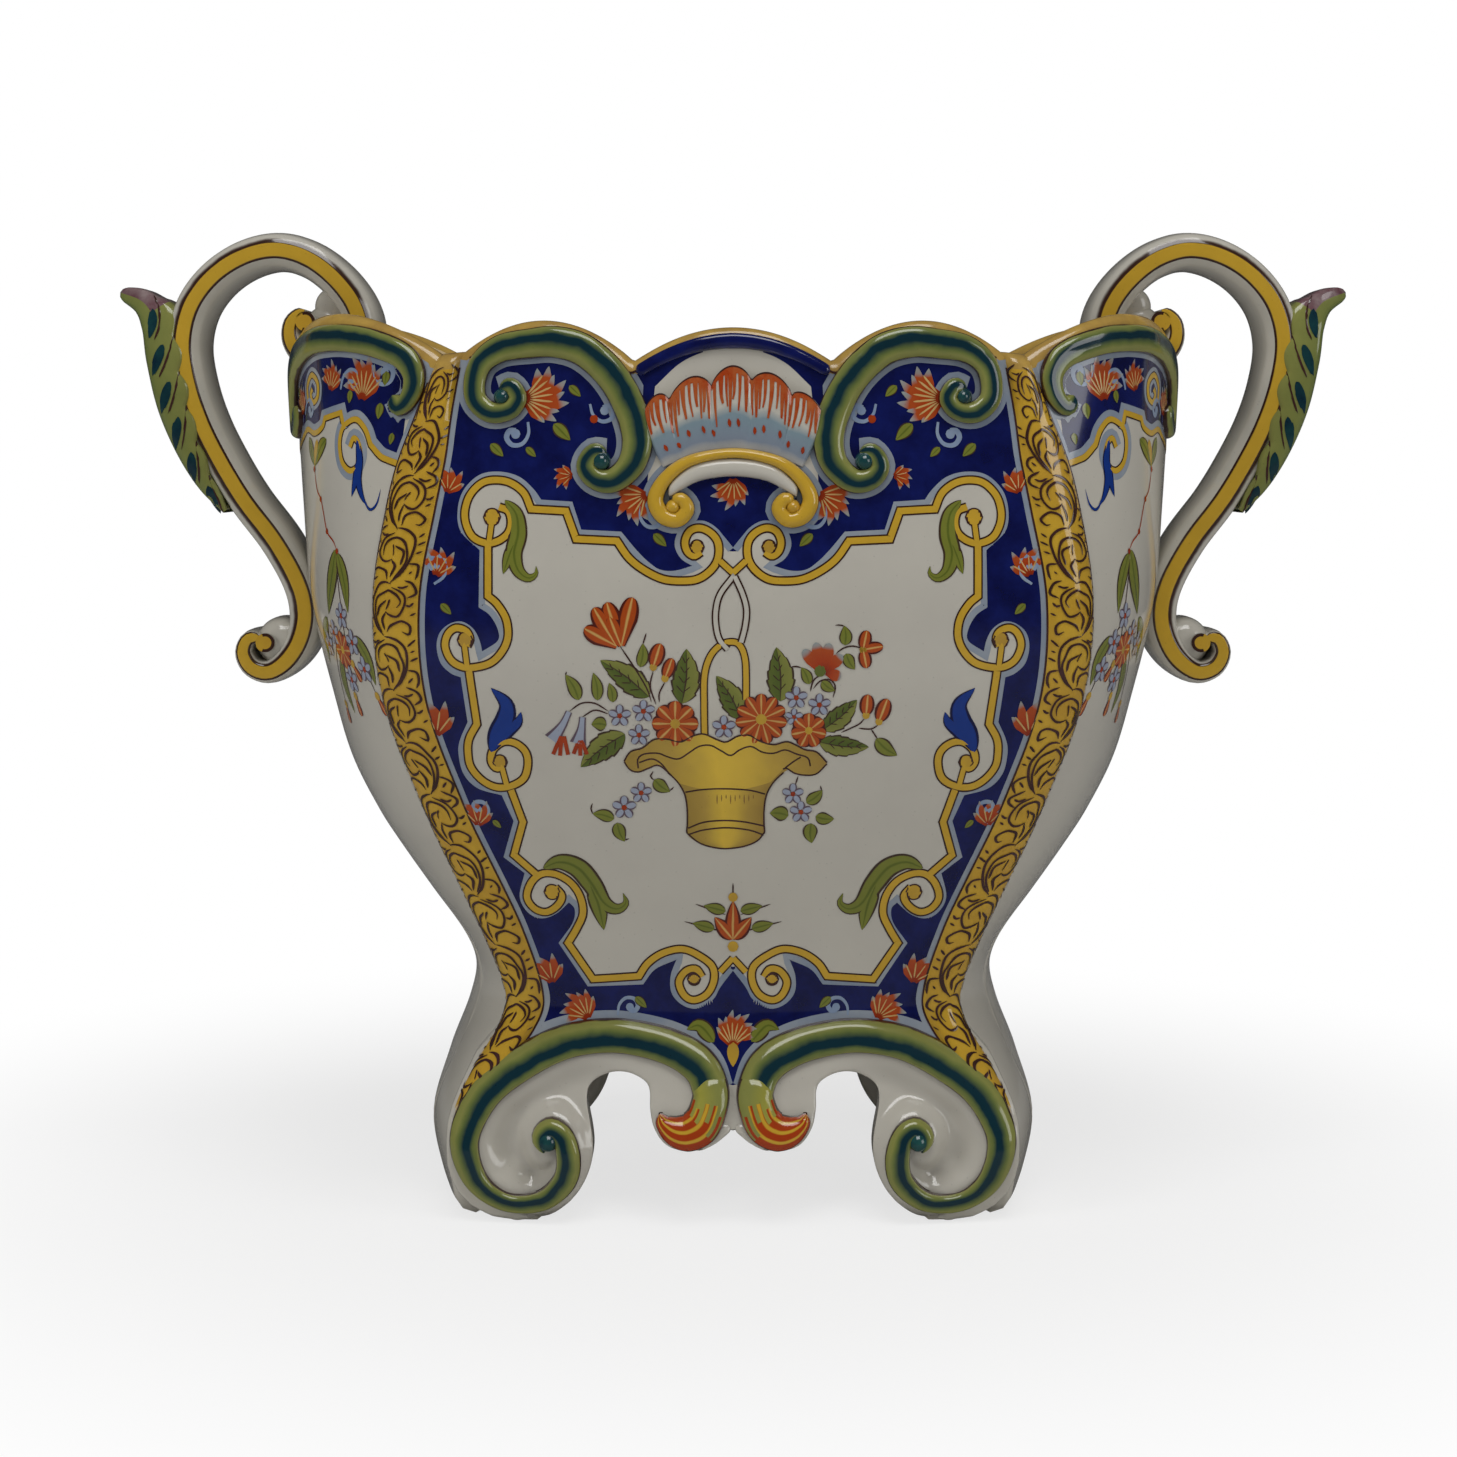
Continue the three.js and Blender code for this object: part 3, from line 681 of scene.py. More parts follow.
leaf_streaks = striped("terracotta_streaks", 0.5, 150.0, [
    (MANGANESE, 0.0, 0.08), (BRICK, 0.11, 0.24), (OCHRE, 0.26, 0.30), (BRICK, 0.32, 0.42),
    (OCHRE, 0.44, 0.48), (BRICK, 0.50, 0.60), (OCHRE, 0.62, 0.66), (BRICK, 0.68, 0.86),
    (MANGANESE, 0.89, 1.0)], TOP_SHARE, waver=0.012)
leaf_lime = striped("leaf_lime", 0.5, 120.0, [
    (MANGANESE, 0.0, 0.12), (LIME, 0.15), (OCHRE_GREEN, 0.30), (LIME, 0.60, 0.83), (MANGANESE, 0.86, 1.0)],
    TOP_SHARE)


def foot_leaf():
    """Rolled terracotta end of the foot scroll, whose strokes run out into the green."""
    def slot_of(u, v):
        stroke_end = 0.62 + 0.10 * math.sin(v * 70) + 0.05 * math.sin(v * 23)
        return 0 if u < stroke_end else 1

    mesh = new_mesh()
    roll(mesh, FOOT_LEAF, RELIEF + 0.25, front_at, 90, end_shares=(0.05, 0.12), slot_of=slot_of)
    return finished("foot_leaf_front_right", mesh, [leaf_streaks, leaf_lime], ["foot_leaf_front_right"],
                    "terracotta_enamel")


# Shell: place and height of each notch of its crest, and the tops of the lobes between them
SHELL_FOOT = 18.5
SHELL_HALF = 23.5
SHELL_NOTCHES = [(-SHELL_HALF, 215.5), (-16.7, 218.9), (-5.7, 222.6), (4.9, 223.9), (15.5, 220.4),
                 (SHELL_HALF, 215.5)]
SHELL_TOPS = [220.6, 225.2, 228.2, 226.2, 220.6]


def shell_crest(x):
    """Height of the crest, and how full the shell is there: 1 in the middle of a lobe and 0 in a notch."""
    for (left, low), (right, high), top in zip(SHELL_NOTCHES, SHELL_NOTCHES[1:], SHELL_TOPS):
        if x <= right or right == SHELL_HALF:
            share = min(1.0, max(0.0, (x - left) / (right - left)))
            full = math.sin(math.pi * share)
            return mix(low, high, share) + (top - (low + high) / 2) * full ** 0.6, full ** 0.5


shell_glaze = striped("shell_glaze", 0.4, 120.0, [
    (CREAM, 0.0), (PALE_BLUE, 0.12), ((0.24, 0.33, 0.38), 0.38), (CREAM, 0.5, 0.97),
    ((0.30, 0.26, 0.22), 1.0)], waver=0.05)


def shell_surface(c, rise, lift=0.0):
    """Point of the shell: c is -1 to 1 across its lobes, rise 0 at its foot and 1 at its crest."""
    low = (SHELL_FOOT * c, 206.2 - 4.8 * c * c)
    crest, full = shell_crest(SHELL_HALF * c)
    high = (SHELL_HALF * c, crest)
    swell = math.sin(math.pi / 2 * min(1.0, rise * 1.15)) * (0.5 + 0.5 * full)
    bulge = 1 + 0.05 * math.sin(math.pi * rise)
    return mix(low[0], high[0], rise) * bulge, mix(low[1], high[1], rise), 0.5 + 3.1 * swell + lift


def shell():
    mesh = new_mesh()

    def point(u, v):
        c, rise = 2 * u - 1, min(1.0, v / 0.92)
        edge = min(1.0, (1 - v) / 0.08, (1 - abs(c)) / 0.04 + 0.02)
        x, z, out = shell_surface(c, rise)
        return front_at(x, z, out * rounded(edge) - ROOT * (1 - edge) ** 3)

    patch(mesh, 170, 40, point)
    return finished("shell_front", mesh, [shell_glaze], ["shell_front"], "terracotta_enamel")


BEAD_REACH = 25.4
BEAD_DROP = 3.7


def rim_bead():
    """Raised cobalt line under the gold edge of the middle arch."""
    mesh = new_mesh()
    path = []
    for k in range(25):
        x = mix(-BEAD_REACH, BEAD_REACH, k / 24)
        path.append((x, front_rim(abs(x) / corner_x(RIM_VALLEY)) - BEAD_DROP, mix(2.1, 1.7, abs(x) / 26)))
    roll(mesh, path, 1.7, front_at, 120, end_shares=(0.03, 0.03))
    copy_piece(finished("rim_bead_front", mesh, [cobalt]), "rim_bead_back", TURN)


def arch_moulding():
    mesh = new_mesh()
    roll(mesh, both_halves(ARCH_WHITE_HALF), 2.8, front_at, 90, slot_of=lambda u, v: 1)
    roll(mesh, both_halves(ARCH_GOLD_HALF), 3.3, front_at, 190, end_shares=(0.02, 0.02))
    for side in (-1, 1):
        knob(mesh, side * 15.6, 191.2, 2.1, 3.5, front_at, slot=2)
    looks = [arch_gold, white, ochre]
    return finished("arch_moulding_front", mesh, looks, ["arch_moulding_front"], "ochre_enamel")


# Legs: plates cut from the front surface, with softly rounded edges and the hollow inside each scroll

LEG_OUTLINE = [
    (0.15, 25.2), (3.8, 22.3), (7.8, 20.2), (12.3, 19.5), (17.4, 20.8), (21.0, 25), (22.2, 30), (22.8, 36),
    (29.1, 38.8), (35.3, 37.4), (39.4, 33), (37.4, 21), (38.4, 13.5), (42.5, 6), (49, 0.8), (56, 0),
    (64, 0.6), (71.5, 4.5), (76, 12), (77, 22), (75.6, 30), (70.2, 42),
]
LEG_TOP = 55.0
LEG_VOXEL = 0.85
LEG_PROUD = 0.35
HOLLOW_DEPTH = 5.5
RELIEF_REACH = 6.0
SCROLL_EDGE, HOLLOW_RUN = 3.4, 9.0
EYE_EDGE, EYE_RUN = 2.4, 5.0
LET_IN = 1.4


def side_of_scroll(x, z, line):
    """Distance from the middle of a scroll, positive on its hollow side."""
    best, signed = 1e9, 0.0
    for centre, along in line:
        dx, dz = x - centre.x, z - centre.y
        gap = dx * dx + dz * dz
        if gap < best:
            best = gap
            signed = dx * along.y - dz * along.x
    return math.copysign(math.sqrt(best), signed)


def leg_block():
    """Even, soft-edged mesh of a leg that is still a flat plate: y is the depth behind its face."""
    mesh = bmesh.new()
    outline = [(LEG_OUTLINE[0][0], LEG_TOP)] + [tuple(p) for p, _ in spline(LEG_OUTLINE, 120)]
    outline.append((corner_x(LEG_TOP) + 1, LEG_TOP))
    verts = [mesh.verts.new((x * MM, 0, max(0.0, z) * MM)) for x, z in outline]
    face = mesh.faces.new(verts)
    pushed = bmesh.ops.extrude_face_region(mesh, geom=[face])["geom"]
    moved = [item for item in pushed if isinstance(item, bmesh.types.BMVert)]
    bmesh.ops.translate(mesh, verts=moved, vec=(0, LEG_THICKNESS * MM, 0))
    bmesh.ops.recalc_face_normals(mesh, faces=mesh.faces)
    data = bpy.data.meshes.new("leg_block")
    mesh.to_mesh(data)
    mesh.free()
    block = bpy.data.objects.new("leg_block", data)
    bpy.context.scene.collection.objects.link(block)
    remesh = block.modifiers.new("even", "REMESH")
    remesh.mode, remesh.voxel_size = "VOXEL", LEG_VOXEL * MM
    depsgraph = bpy.context.evaluated_depsgraph_get()
    mesh = new_mesh()
    mesh.from_mesh(block.evaluated_get(depsgraph).to_mesh())
    bpy.data.objects.remove(block)
    for _ in range(5):
        bmesh.ops.smooth_vert(mesh, verts=mesh.verts, factor=0.5,
                              use_axis_x=True, use_axis_y=True, use_axis_z=True)
    return mesh


def leg_depth(x, deep, z, outer_run, inner_run):
    """Depth of a leg's point, with the hollow scooped and the face let in behind the front panel's foot."""
    front = max(0.0, 1 - deep / RELIEF_REACH)
    if not front:
        return deep
    side = side_of_scroll(x, z, outer_run)
    from_eye = abs(side_of_scroll(x, z, inner_run)) - EYE_EDGE
    clear = soft_step(from_eye / EYE_RUN) * soft_step((x - 24) / 20)
    hollow = HOLLOW_DEPTH * soft_step((side - SCROLL_EDGE) / HOLLOW_RUN) * (0.25 + 0.75 * clear)
    above = z - FRONT_BOTTOM(round(min(1.0, x / corner_x(z)), 3)) - 1.0
    behind = min(1.0, max(0.0, above / 1.5)) * min(1.0, max(0.0, (-side - 0.5) / 1.5))
    return deep + hollow * front + LET_IN * behind * front


def leg():
    """Leg bent to the front surface, with the hollow scooped inside its scroll."""
    mesh = leg_block()
    line = spline([(x, z) for x, z, _ in FOOT_SCROLL], 150)
    outer_run, inner_run = line[:106], line[106:]
    for vert in mesh.verts:
        x, deep, z = vert.co / MM
        deep = leg_depth(x, deep, z, outer_run, inner_run)
        vert.co = Vector(front_at(x, min(max(z, 0.0), LEG_TOP), LEG_PROUD - deep)) * MM
    for face in mesh.faces:
        face.smooth = True
    return finished("leg_front_right", mesh, [white], ["leg_front_right"], weld=False)


# Handles: strap with a flat face to the front and to the back, and a volute at each end

HANDLE_PATH = [
    (134.4, 152.8), (138, 152.2), (139.4, 148.2), (137, 144), (132, 142.8), (126.6, 146.4), (123, 152.6),
    (121.8, 160), (124, 168.8), (130.4, 180.2), (139, 191.6), (145.6, 202.4), (151.2, 213.6), (155, 225),
    (156.6, 236.5), (154.2, 247), (148, 255.4), (139.4, 261), (130, 263), (121.2, 260.6), (113.6, 255),
    (108, 247.6), (106, 240), (108.6, 233.4), (114.6, 230.2), (121, 231.6), (125.6, 236.4), (125.8, 242.2),
    (121.8, 246),
]
# Eyes of the volutes as place, height and radius, and the webs that close their curls, with half their depth
HANDLE_EYES = [(133.0, 151.2, 2.7), (121.6, 242.6, 2.8)]
HANDLE_WEBS = [(129.4, 150.9, 7.3, 11.6), (114.5, 247.2, 5.8, 8.0), (116.4, 240.8, 7.0, 9.0)]
RING = 48
FACE_ROWS = 14


def strap_ring(k, s, end):
    """Point k of the strap's section at share s of its length: in-plane place and depth."""
    face = HANDLE_FACE / 2 * tapered(s, 0.66, 0.10) * end
    full = HANDLE_THICKNESS / 2 * tapered(s, 0.36, 0.16) * end
    deep = HANDLE_DEPTH / 2
    half = RING // 2
    mirror = 1 if k < half else -1
    k %= half
    if k <= FACE_ROWS:
        across = -1 + 2 * k / FACE_ROWS
        round_off = 0.5 * abs(across) ** 8
        return mirror * face * across, -mirror * (deep - round_off)
    t = (k - FACE_ROWS) / (half - FACE_ROWS)
    belly = math.sin(math.pi * t) ** 0.6
    return mirror * (face + (full - face) * belly), -mirror * (deep - 0.5) * math.cos(math.pi * t)


def tapered(s, tip, run):
    """Share of the full width at share s of a length that tapers to tip over a run at both ends."""
    return min(1.0, mix(tip, 1, s / run), mix(tip, 1, (1 - s) / run))


LINE = 0.03
strap_bands = []
for start in (0.0, 0.5):
    face_end = start + FACE_ROWS / RING
    strap_bands += [(MANGANESE, start, start + LINE), (OCHRE, start + LINE + 0.012, face_end - LINE - 0.012),
                    (MANGANESE, face_end - LINE, face_end + 0.004), (CREAM, face_end + 0.012, start + 0.492)]
strap_glaze = striped("strap_glaze", 0.45, 110.0, strap_bands, waver=0.006)
eye_outline = glaze("eye_outline", MANGANESE, MANGANESE, 0.3, 120.0)


EYE, WEB, EYE_LINE = 1, 2, 3


def volute_eye(mesh, x, z, radius):
    """Turned pin at the heart of a volute, through the strap's depth, with a conical end on each face."""
    def point(u, v):
        share = abs(2 * v - 1)
        reach = radius * min(1.0, (1.0 - share) / 0.3)
        deep = math.copysign(min(1.0, share / 0.66) * HANDLE_DEPTH / 2, v - 0.5)
        angle = 2 * math.pi * u
        return x + reach * math.cos(angle), deep, z + reach * math.sin(angle)

    def slot_of(u, v):
        share = abs(2 * v - 1)
        if share < 0.6:
            return WEB
        return EYE_LINE if share < 0.78 and 0.2 < u < 0.8 else EYE

    patch(mesh, 36, 40, point, slot_of=slot_of)


def volute_web(mesh, x, z, radius, half):
    """Domed clay that closes the curl of a volute, half deep on each side of the middle."""
    def point(u, v):
        share = 2 * v - 1
        reach = radius * math.sqrt(max(0.0, 1 - share ** 4))
        angle = 2 * math.pi * u
        return x + reach * math.cos(angle), half * share, z + reach * math.sin(angle)

    patch(mesh, 48, 40, point, slot=WEB)


def handle():
    mesh = new_mesh()
    count = 220
    line = spline(HANDLE_PATH, count)

    def point(u, v):
        centre, along = line[round(u * count)]
        end = rounded(min(u, 1 - u) / 0.012)
        across, y = strap_ring(round(v * RING) % RING, u, end)
        return centre.x + along.y * across, y, centre.y - along.x * across

    patch(mesh, count, RING, point)
    for eye in HANDLE_EYES:
        volute_eye(mesh, *eye)
    for web in HANDLE_WEBS:
        volute_web(mesh, *web)
    looks = [strap_glaze, ochre, white, eye_outline]
    return finished("handle_right", mesh, looks, ["handle_right"], "ochre_enamel")


LEAF_PATH = [(144.6, 188.6), (150, 196), (155, 206), (159.4, 218.5), (162.2, 231.5), (164.0, 241.6),
             (168.6, 248.2), (177, 251.6)]
LEAF_LENGTH = 75.0
LEAF_LOBES = 6
LEAF_SQUARE = 0.35
LEAF_OVERLAP = 1.4
leaf_thick = smooth([(0, 0.9), (0.15, 2.8), (0.4, 4.6), (0.62, 5.2), (0.78, 5.0), (0.9, 3.7), (1, 1.7)])
leaf_deep = smooth([(0, 12.4), (0.25, 13.6), (0.62, 13.8), (0.78, 12.4), (0.9, 7.2), (1, 2.8)])
leaf_line = spline(LEAF_PATH, 180)
leaf_green = striped("leaf_green", 0.7, 120.0, [
    (INK_GREEN, 0.0), (LEAF_GREEN, 0.05, 0.14), (LIME, 0.3, 0.47), (MANGANESE, 0.50), (LIME, 0.53, 0.70),
    (LEAF_GREEN, 0.86, 0.95), (INK_GREEN, 1.0)], waver=0.02)
spur_purple = glaze("spur_manganese", (0.15, 0.065, 0.08), (0.36, 0.29, 0.28), 0.75, 150.0)


def leaf_lobe(share):
    """How full the pinched edge of the handle leaf is, along its length."""
    return 0.66 + 0.34 * abs(math.sin(math.pi * LEAF_LOBES * min(0.86, share) / 0.86))


def squared(value):
    """Turns a sine or cosine into one of a rounded rectangle."""
    return math.copysign(abs(value) ** LEAF_SQUARE, value)


def handle_leaf():
    mesh = new_mesh()
    count = 90

    def point(u, v):
        centre, along = leaf_line[round(u * count) * 2]
        turn = 2 * math.pi * v
        lobe = LEAF_OVERLAP * leaf_lobe(u) if math.cos(turn) < 0 else 1.0
        end = rounded((1 - u) / 0.04)
        across = leaf_thick(round(u, 6)) * squared(math.cos(turn)) * lobe * end
        y = leaf_deep(round(u, 6)) * squared(math.sin(turn)) * end
        return centre.x + along.y * across, y, centre.y - along.x * across

    def slot_of(u, v):
        return 1 if u > 0.82 and 0.24 < v < 0.76 else 0

    patch(mesh, count, 40, point, slot_of=slot_of)
    looks = [leaf_green, spur_purple]
    return finished("handle_leaf_right", mesh, looks, ["handle_leaf_right"], "green_enamel")


on_every_corner(scroll("foot_scroll_front_right", FOOT_SCROLL, RELIEF, front_at, 190, (0.02, 0.03),
                       [(49.4, 22.2, 3.0, 0.5)]), "foot_scroll", "foot_scroll")
on_every_corner(foot_leaf(), "foot_leaf", "foot_leaf")
on_every_corner(scroll("rim_scroll_front_right", RIM_SCROLL, RELIEF, front_at, 190, (0.03, 0.03),
                       [(34.6, 203.2, 2.7, 0.5), (61.2, 220.2, 2.4, 0.4)]), "rim_scroll", "rim_scroll")
on_every_corner(scroll("end_scroll_front_right", END_SCROLL[::-1], END_RELIEF, end_at, 160, (0.03, 0.03)),
                "end_scroll", "end_scroll")
on_every_corner(leg(), "leg", "leg")
copy_piece(shell(), "shell_back", TURN, ["shell_back"])
copy_piece(arch_moulding(), "arch_moulding_back", TURN, ["arch_moulding_back"])
rim_bead()
copy_piece(handle(), "handle_left", MIRROR, ["handle_left"])
copy_piece(handle_leaf(), "handle_leaf_left", MIRROR, ["handle_leaf_left"])

# Painting: enamel laid on the glaze as thin ribbons that follow the surface

MARGIN_LIFT, GOLD_LIFT, FILL_LIFT, DETAIL_LIFT, LINE_LIFT = 0.05, 0.10, 0.13, 0.17, 0.21
ENAMEL_THICKNESS = 0.05
SCROLL_MARGIN = 1.3
FRAME_HALF = 1.28
SHARP = "sharp"


def seen(column, row):
    """Distance from the middle and height of the front panel's point at a pixel of the photograph."""
    x, z = 0.0, EYE_HEIGHT
    for _ in range(4):
        scale = (front_at(x, z)[1] - CAMERA_Y) / (FRONT_PLANE_Y - CAMERA_Y) * PIXEL_MM
        x, z = abs(column - CENTRE_COLUMN) * scale, EYE_HEIGHT - (row - EYE_ROW) * scale
    return x, z


def seen_path(points):
    return [(*seen(p[0], p[1]), *p[2:]) for p in points]


def trace(points, step=0.8):
    """Evenly spaced points on a painted line, which stays a corner where a point is marked sharp."""
    runs, run = [], []
    for point in points:
        run.append(point[:2])
        if len(point) > 2 and len(run) > 1:
            runs.append(run)
            run = [point[:2]]
    if len(run) > 1:
        runs.append(run)
    out = []
    for run in runs:
        length = sum(math.dist(a, b) for a, b in zip(run, run[1:]))
        line = [p for p, _ in spline(run, max(2, round(length / step)))]
        out += line if not out else line[1:]
    return out


def mitred(line):
    """Sideways direction at every point of a line, longer at a corner so that its width holds there."""
    sides = []
    for i, point in enumerate(line):
        before = (point - line[max(0, i - 1)]) if i else (line[1] - point)
        after = (line[i + 1] - point) if i + 1 < len(line) else before
        a, b = before.normalized(), after.normalized()
        middle = (a + b).normalized() if (a + b).length > 1e-6 else a
        sides.append(Vector((-middle.y, middle.x)) / max(0.6, middle.dot(a)))
    return sides


# Widths of a stroke along its length, as shares of its half width

def full_width(share):
    return 1.0


def leaf_width(share):
    """Pointed at the tip and narrow at the stalk."""
    return math.sin(math.pi * share ** 0.75) ** 0.8 if 0 < share < 1 else 0.02


def petal_width(share):
    """Narrow at the heart of the flower and round at the tip."""
    return rounded((1 - share) / 0.45) * (0.25 + 0.75 * share) + 0.02


def brush_width(share):
    """Even, with the narrow ends of one touch of the brush."""
    return min(1.0, 0.25 + share / 0.2, 0.25 + (1 - share) / 0.2)


def round_width(share):
    return math.sqrt(max(0.0004, 1 - (2 * share - 1) ** 2))


def ribbon(mesh, points, left, right, place, lift, slot, shape=full_width, step=0.8):
    """Ribbon of enamel along a line, reaching left and right of it, a little proud along its middle."""
    line = trace(points, step)
    sides = mitred(line)
    last = len(line) - 1

    def point(u, v):
        i = round(u * last)
        reach = mix(-right, left, v) * shape(i / last)
        edge = 1 - abs(2 * v - 1)
        flat = line[i] + sides[i] * reach
        return place(flat.x, flat.y, lift + ENAMEL_THICKNESS * (edge - 0.5))

    patch(mesh, last, 2, point, slot=slot)


def stroke(mesh, points, half, place, lift, slot, shape=brush_width, step=0.8):
    ribbon(mesh, points, half, half, place, lift, slot, shape, step)


def dot(mesh, centre, radius, place, lift, slot):
    x, z = centre
    stroke(mesh, [(x - radius, z), (x + radius, z)], radius, place, lift, slot, round_width, radius / 4)


def local(centre, angle, size, hand=1):
    """Placer for a small motif drawn around the origin and pointing up."""
    cos, sin = math.cos(math.radians(angle)), math.sin(math.radians(angle))

    def at(points):
        return [(centre[0] + size * (hand * p[0] * cos + p[1] * sin),
                 centre[1] + size * (p[1] * cos - hand * p[0] * sin), *p[2:]) for p in points]
    return at


(GOLD_STRIP, PALE, PALMETTE, GREEN, LINE_BROWN, FLAME, YELLOW, PETAL, BLUE_PETAL, ORANGE, BLUE_LINE,
 COBALT_FILL, YELLOW_LINE, SHADE_LINE, RING_PAINT, SHELL_ORANGE, INK, TWO_GREENS, LEAF_SPOT,
 BASKET_GOLD) = range(20)


def outlined(name, edge, body, edge_share=0.12, middle=None):
    """Enamel with a brushed outline along both sides of its ribbon, and a stripe down its middle if given."""
    start, end = edge_share + 0.04, 1 - edge_share - 0.04
    inside = [(body, start, end)]
    if middle:
        inside = [(body, start, 0.40), (middle, 0.47, 0.53), (body, 0.60, end)]
    return striped(name, 0.6, 140.0, [(edge, 0.0, edge_share), *inside, (edge, 1 - edge_share, 1.0)])


FLAME_BLUE = (0.006, 0.04, 0.26)
LEAF_EDGE = (0.06, 0.035, 0.02)
paints = [
    outlined("frame_gold", MANGANESE, OCHRE, 0.15),
    glaze("pale_blue_margin", PALE_BLUE, (0.36, 0.39, 0.42), 0.9, 70.0),
    striped("palmette_enamel", 0.5, 160.0, [
        (BRICK_DEEP, 0.0), (BRICK, 0.35), ((0.44, 0.075, 0.015), 0.76), ((0.34, 0.28, 0.26), 0.86),
        ((0.32, 0.38, 0.38), 1.0)], axis="X", waver=0.12),
    outlined("painted_leaf_green", LEAF_EDGE, (0.21, 0.23, 0.035), 0.09, (0.12, 0.15, 0.02)),
    glaze("manganese_line", MANGANESE, (0.08, 0.03, 0.03), 0.7, 200.0),
    outlined("flame_blue", COBALT, FLAME_BLUE, 0.12),
    glaze("painted_yellow", OCHRE, (0.42, 0.25, 0.04), 0.8, 60.0),
    outlined("orange_petal", (0.09, 0.015, 0.01), (0.46, 0.075, 0.010), 0.13, (0.66, 0.40, 0.12)),
    outlined("blue_petal", (0.13, 0.09, 0.12), (0.36, 0.40, 0.50), 0.16),
    glaze("orange_enamel", BRICK, BRICK_DEEP, 0.7, 220.0),
    glaze("pale_blue_line", (0.30, 0.37, 0.48), (0.20, 0.28, 0.45), 0.8, 200.0),
    cobalt,
    glaze("pale_yellow_line", (0.62, 0.42, 0.16), (0.50, 0.30, 0.10), 0.7, 200.0),
    glaze("bistre_shade", (0.30, 0.17, 0.04), (0.24, 0.13, 0.04), 0.6, 200.0),
    outlined("white_ring", MANGANESE, CREAM, 0.2),
    glaze("shell_orange", BRICK, (0.48, 0.14, 0.04), 0.9, 300.0),
    glaze("leaf_ink", (0.003, 0.022, 0.04), (0.01, 0.06, 0.06), 0.7, 200.0),
    striped("two_tone_leaf", 0.7, 120.0, [
        (LEAF_EDGE, 0.0, 0.06), ((0.25, 0.26, 0.055), 0.09), ((0.21, 0.23, 0.045), 0.46),
        (LEAF_EDGE, 0.485, 0.515), ((0.09, 0.13, 0.02), 0.54), ((0.12, 0.155, 0.025), 0.91),
        (LEAF_EDGE, 0.94, 1.0)], waver=0.02),
    glaze("leaf_spot", (0.13, 0.16, 0.03), (0.08, 0.11, 0.02), 0.6, 120.0),
    striped("basket_gold", 0.9, 60.0, [
        ((0.40, 0.26, 0.05), 0.0), ((0.50, 0.33, 0.06), 0.22), ((0.80, 0.54, 0.06), 0.46),
        ((0.72, 0.48, 0.06), 0.62), ((0.50, 0.33, 0.06), 0.78), ((0.38, 0.24, 0.05), 1.0)],
        waver=0.06, axis="X"),
]

# Lines of the painted front, given as pixels of the photograph's left half
FRAME_TOP_SEEN = [
    (499, 507), (508, 511), (511, 522), (508, 533), (498, 541), (486, 543), (473, 537), (466, 524),
    (465, 510), (470, 495), (482, 483), (496, 480), (511, 483), (524, 493), (531, 509, SHARP),
    (566, 511, SHARP), (576, 539, SHARP), (617, 541, SHARP), (629, 558), (644, 570), (663, 579), (682, 581),
    (698, 579), (711, 570), (718, 558), (718, 543), (711, 533), (700, 528), (690, 531), (685, 541),
    (687, 551), (694, 556), (701, 552),
]
FRAME_SIDE_SEEN = [
    (488, 544), (488, 596, SHARP), (497, 604), (506, 619), (508, 636), (503, 650), (492, 662), (477, 667),
    (463, 667), (451, 660), (445, 646), (448, 634), (456, 628), (466, 631), (470, 639), (467, 646),
]
FRAME_WAIST_SEEN = [
    (469, 671), (477, 724, SHARP), (469, 739), (468, 753), (471, 767), (482, 780), (496, 787), (511, 786),
    (524, 778), (528, 763), (525, 751), (515, 743), (503, 742), (493, 750), (491, 761), (496, 768),
    (504, 767),
]
FRAME_LOW_SEEN = [(511, 790), (523, 822, SHARP), (514, 855, SHARP), (536, 874)]
FRAME_FOOT_SEEN = [
    (555, 887), (562, 896), (557, 906), (546, 912), (534, 908), (527, 897), (531, 883), (541, 874),
    (555, 874), (570, 882), (580, 896), (583, 913), (577, 928), (568, 943, SHARP), (593, 979, SHARP),
    (639, 976, SHARP), (648, 963), (663, 953), (682, 949), (698, 955), (712, 966), (714, 980), (707, 994),
    (694, 1000), (684, 995), (679, 982), (686, 971), (696, 969), (702, 977),
]
FRAME_EYES_SEEN = [(492, 517, 2.2), (697, 547, 1.8), (465, 640, 2.0), (500, 762, 1.9), (552, 892, 2.1),
                   (694, 979, 1.7)]
FRAME_BARS_SEEN = [((492, 519), (489, 542)), ((464, 642), (467, 666)), ((501, 764), (507, 786))]
FRAME_JOINS_SEEN = [((720, 561), (733, 573)), ((720, 972), (733, 958))]
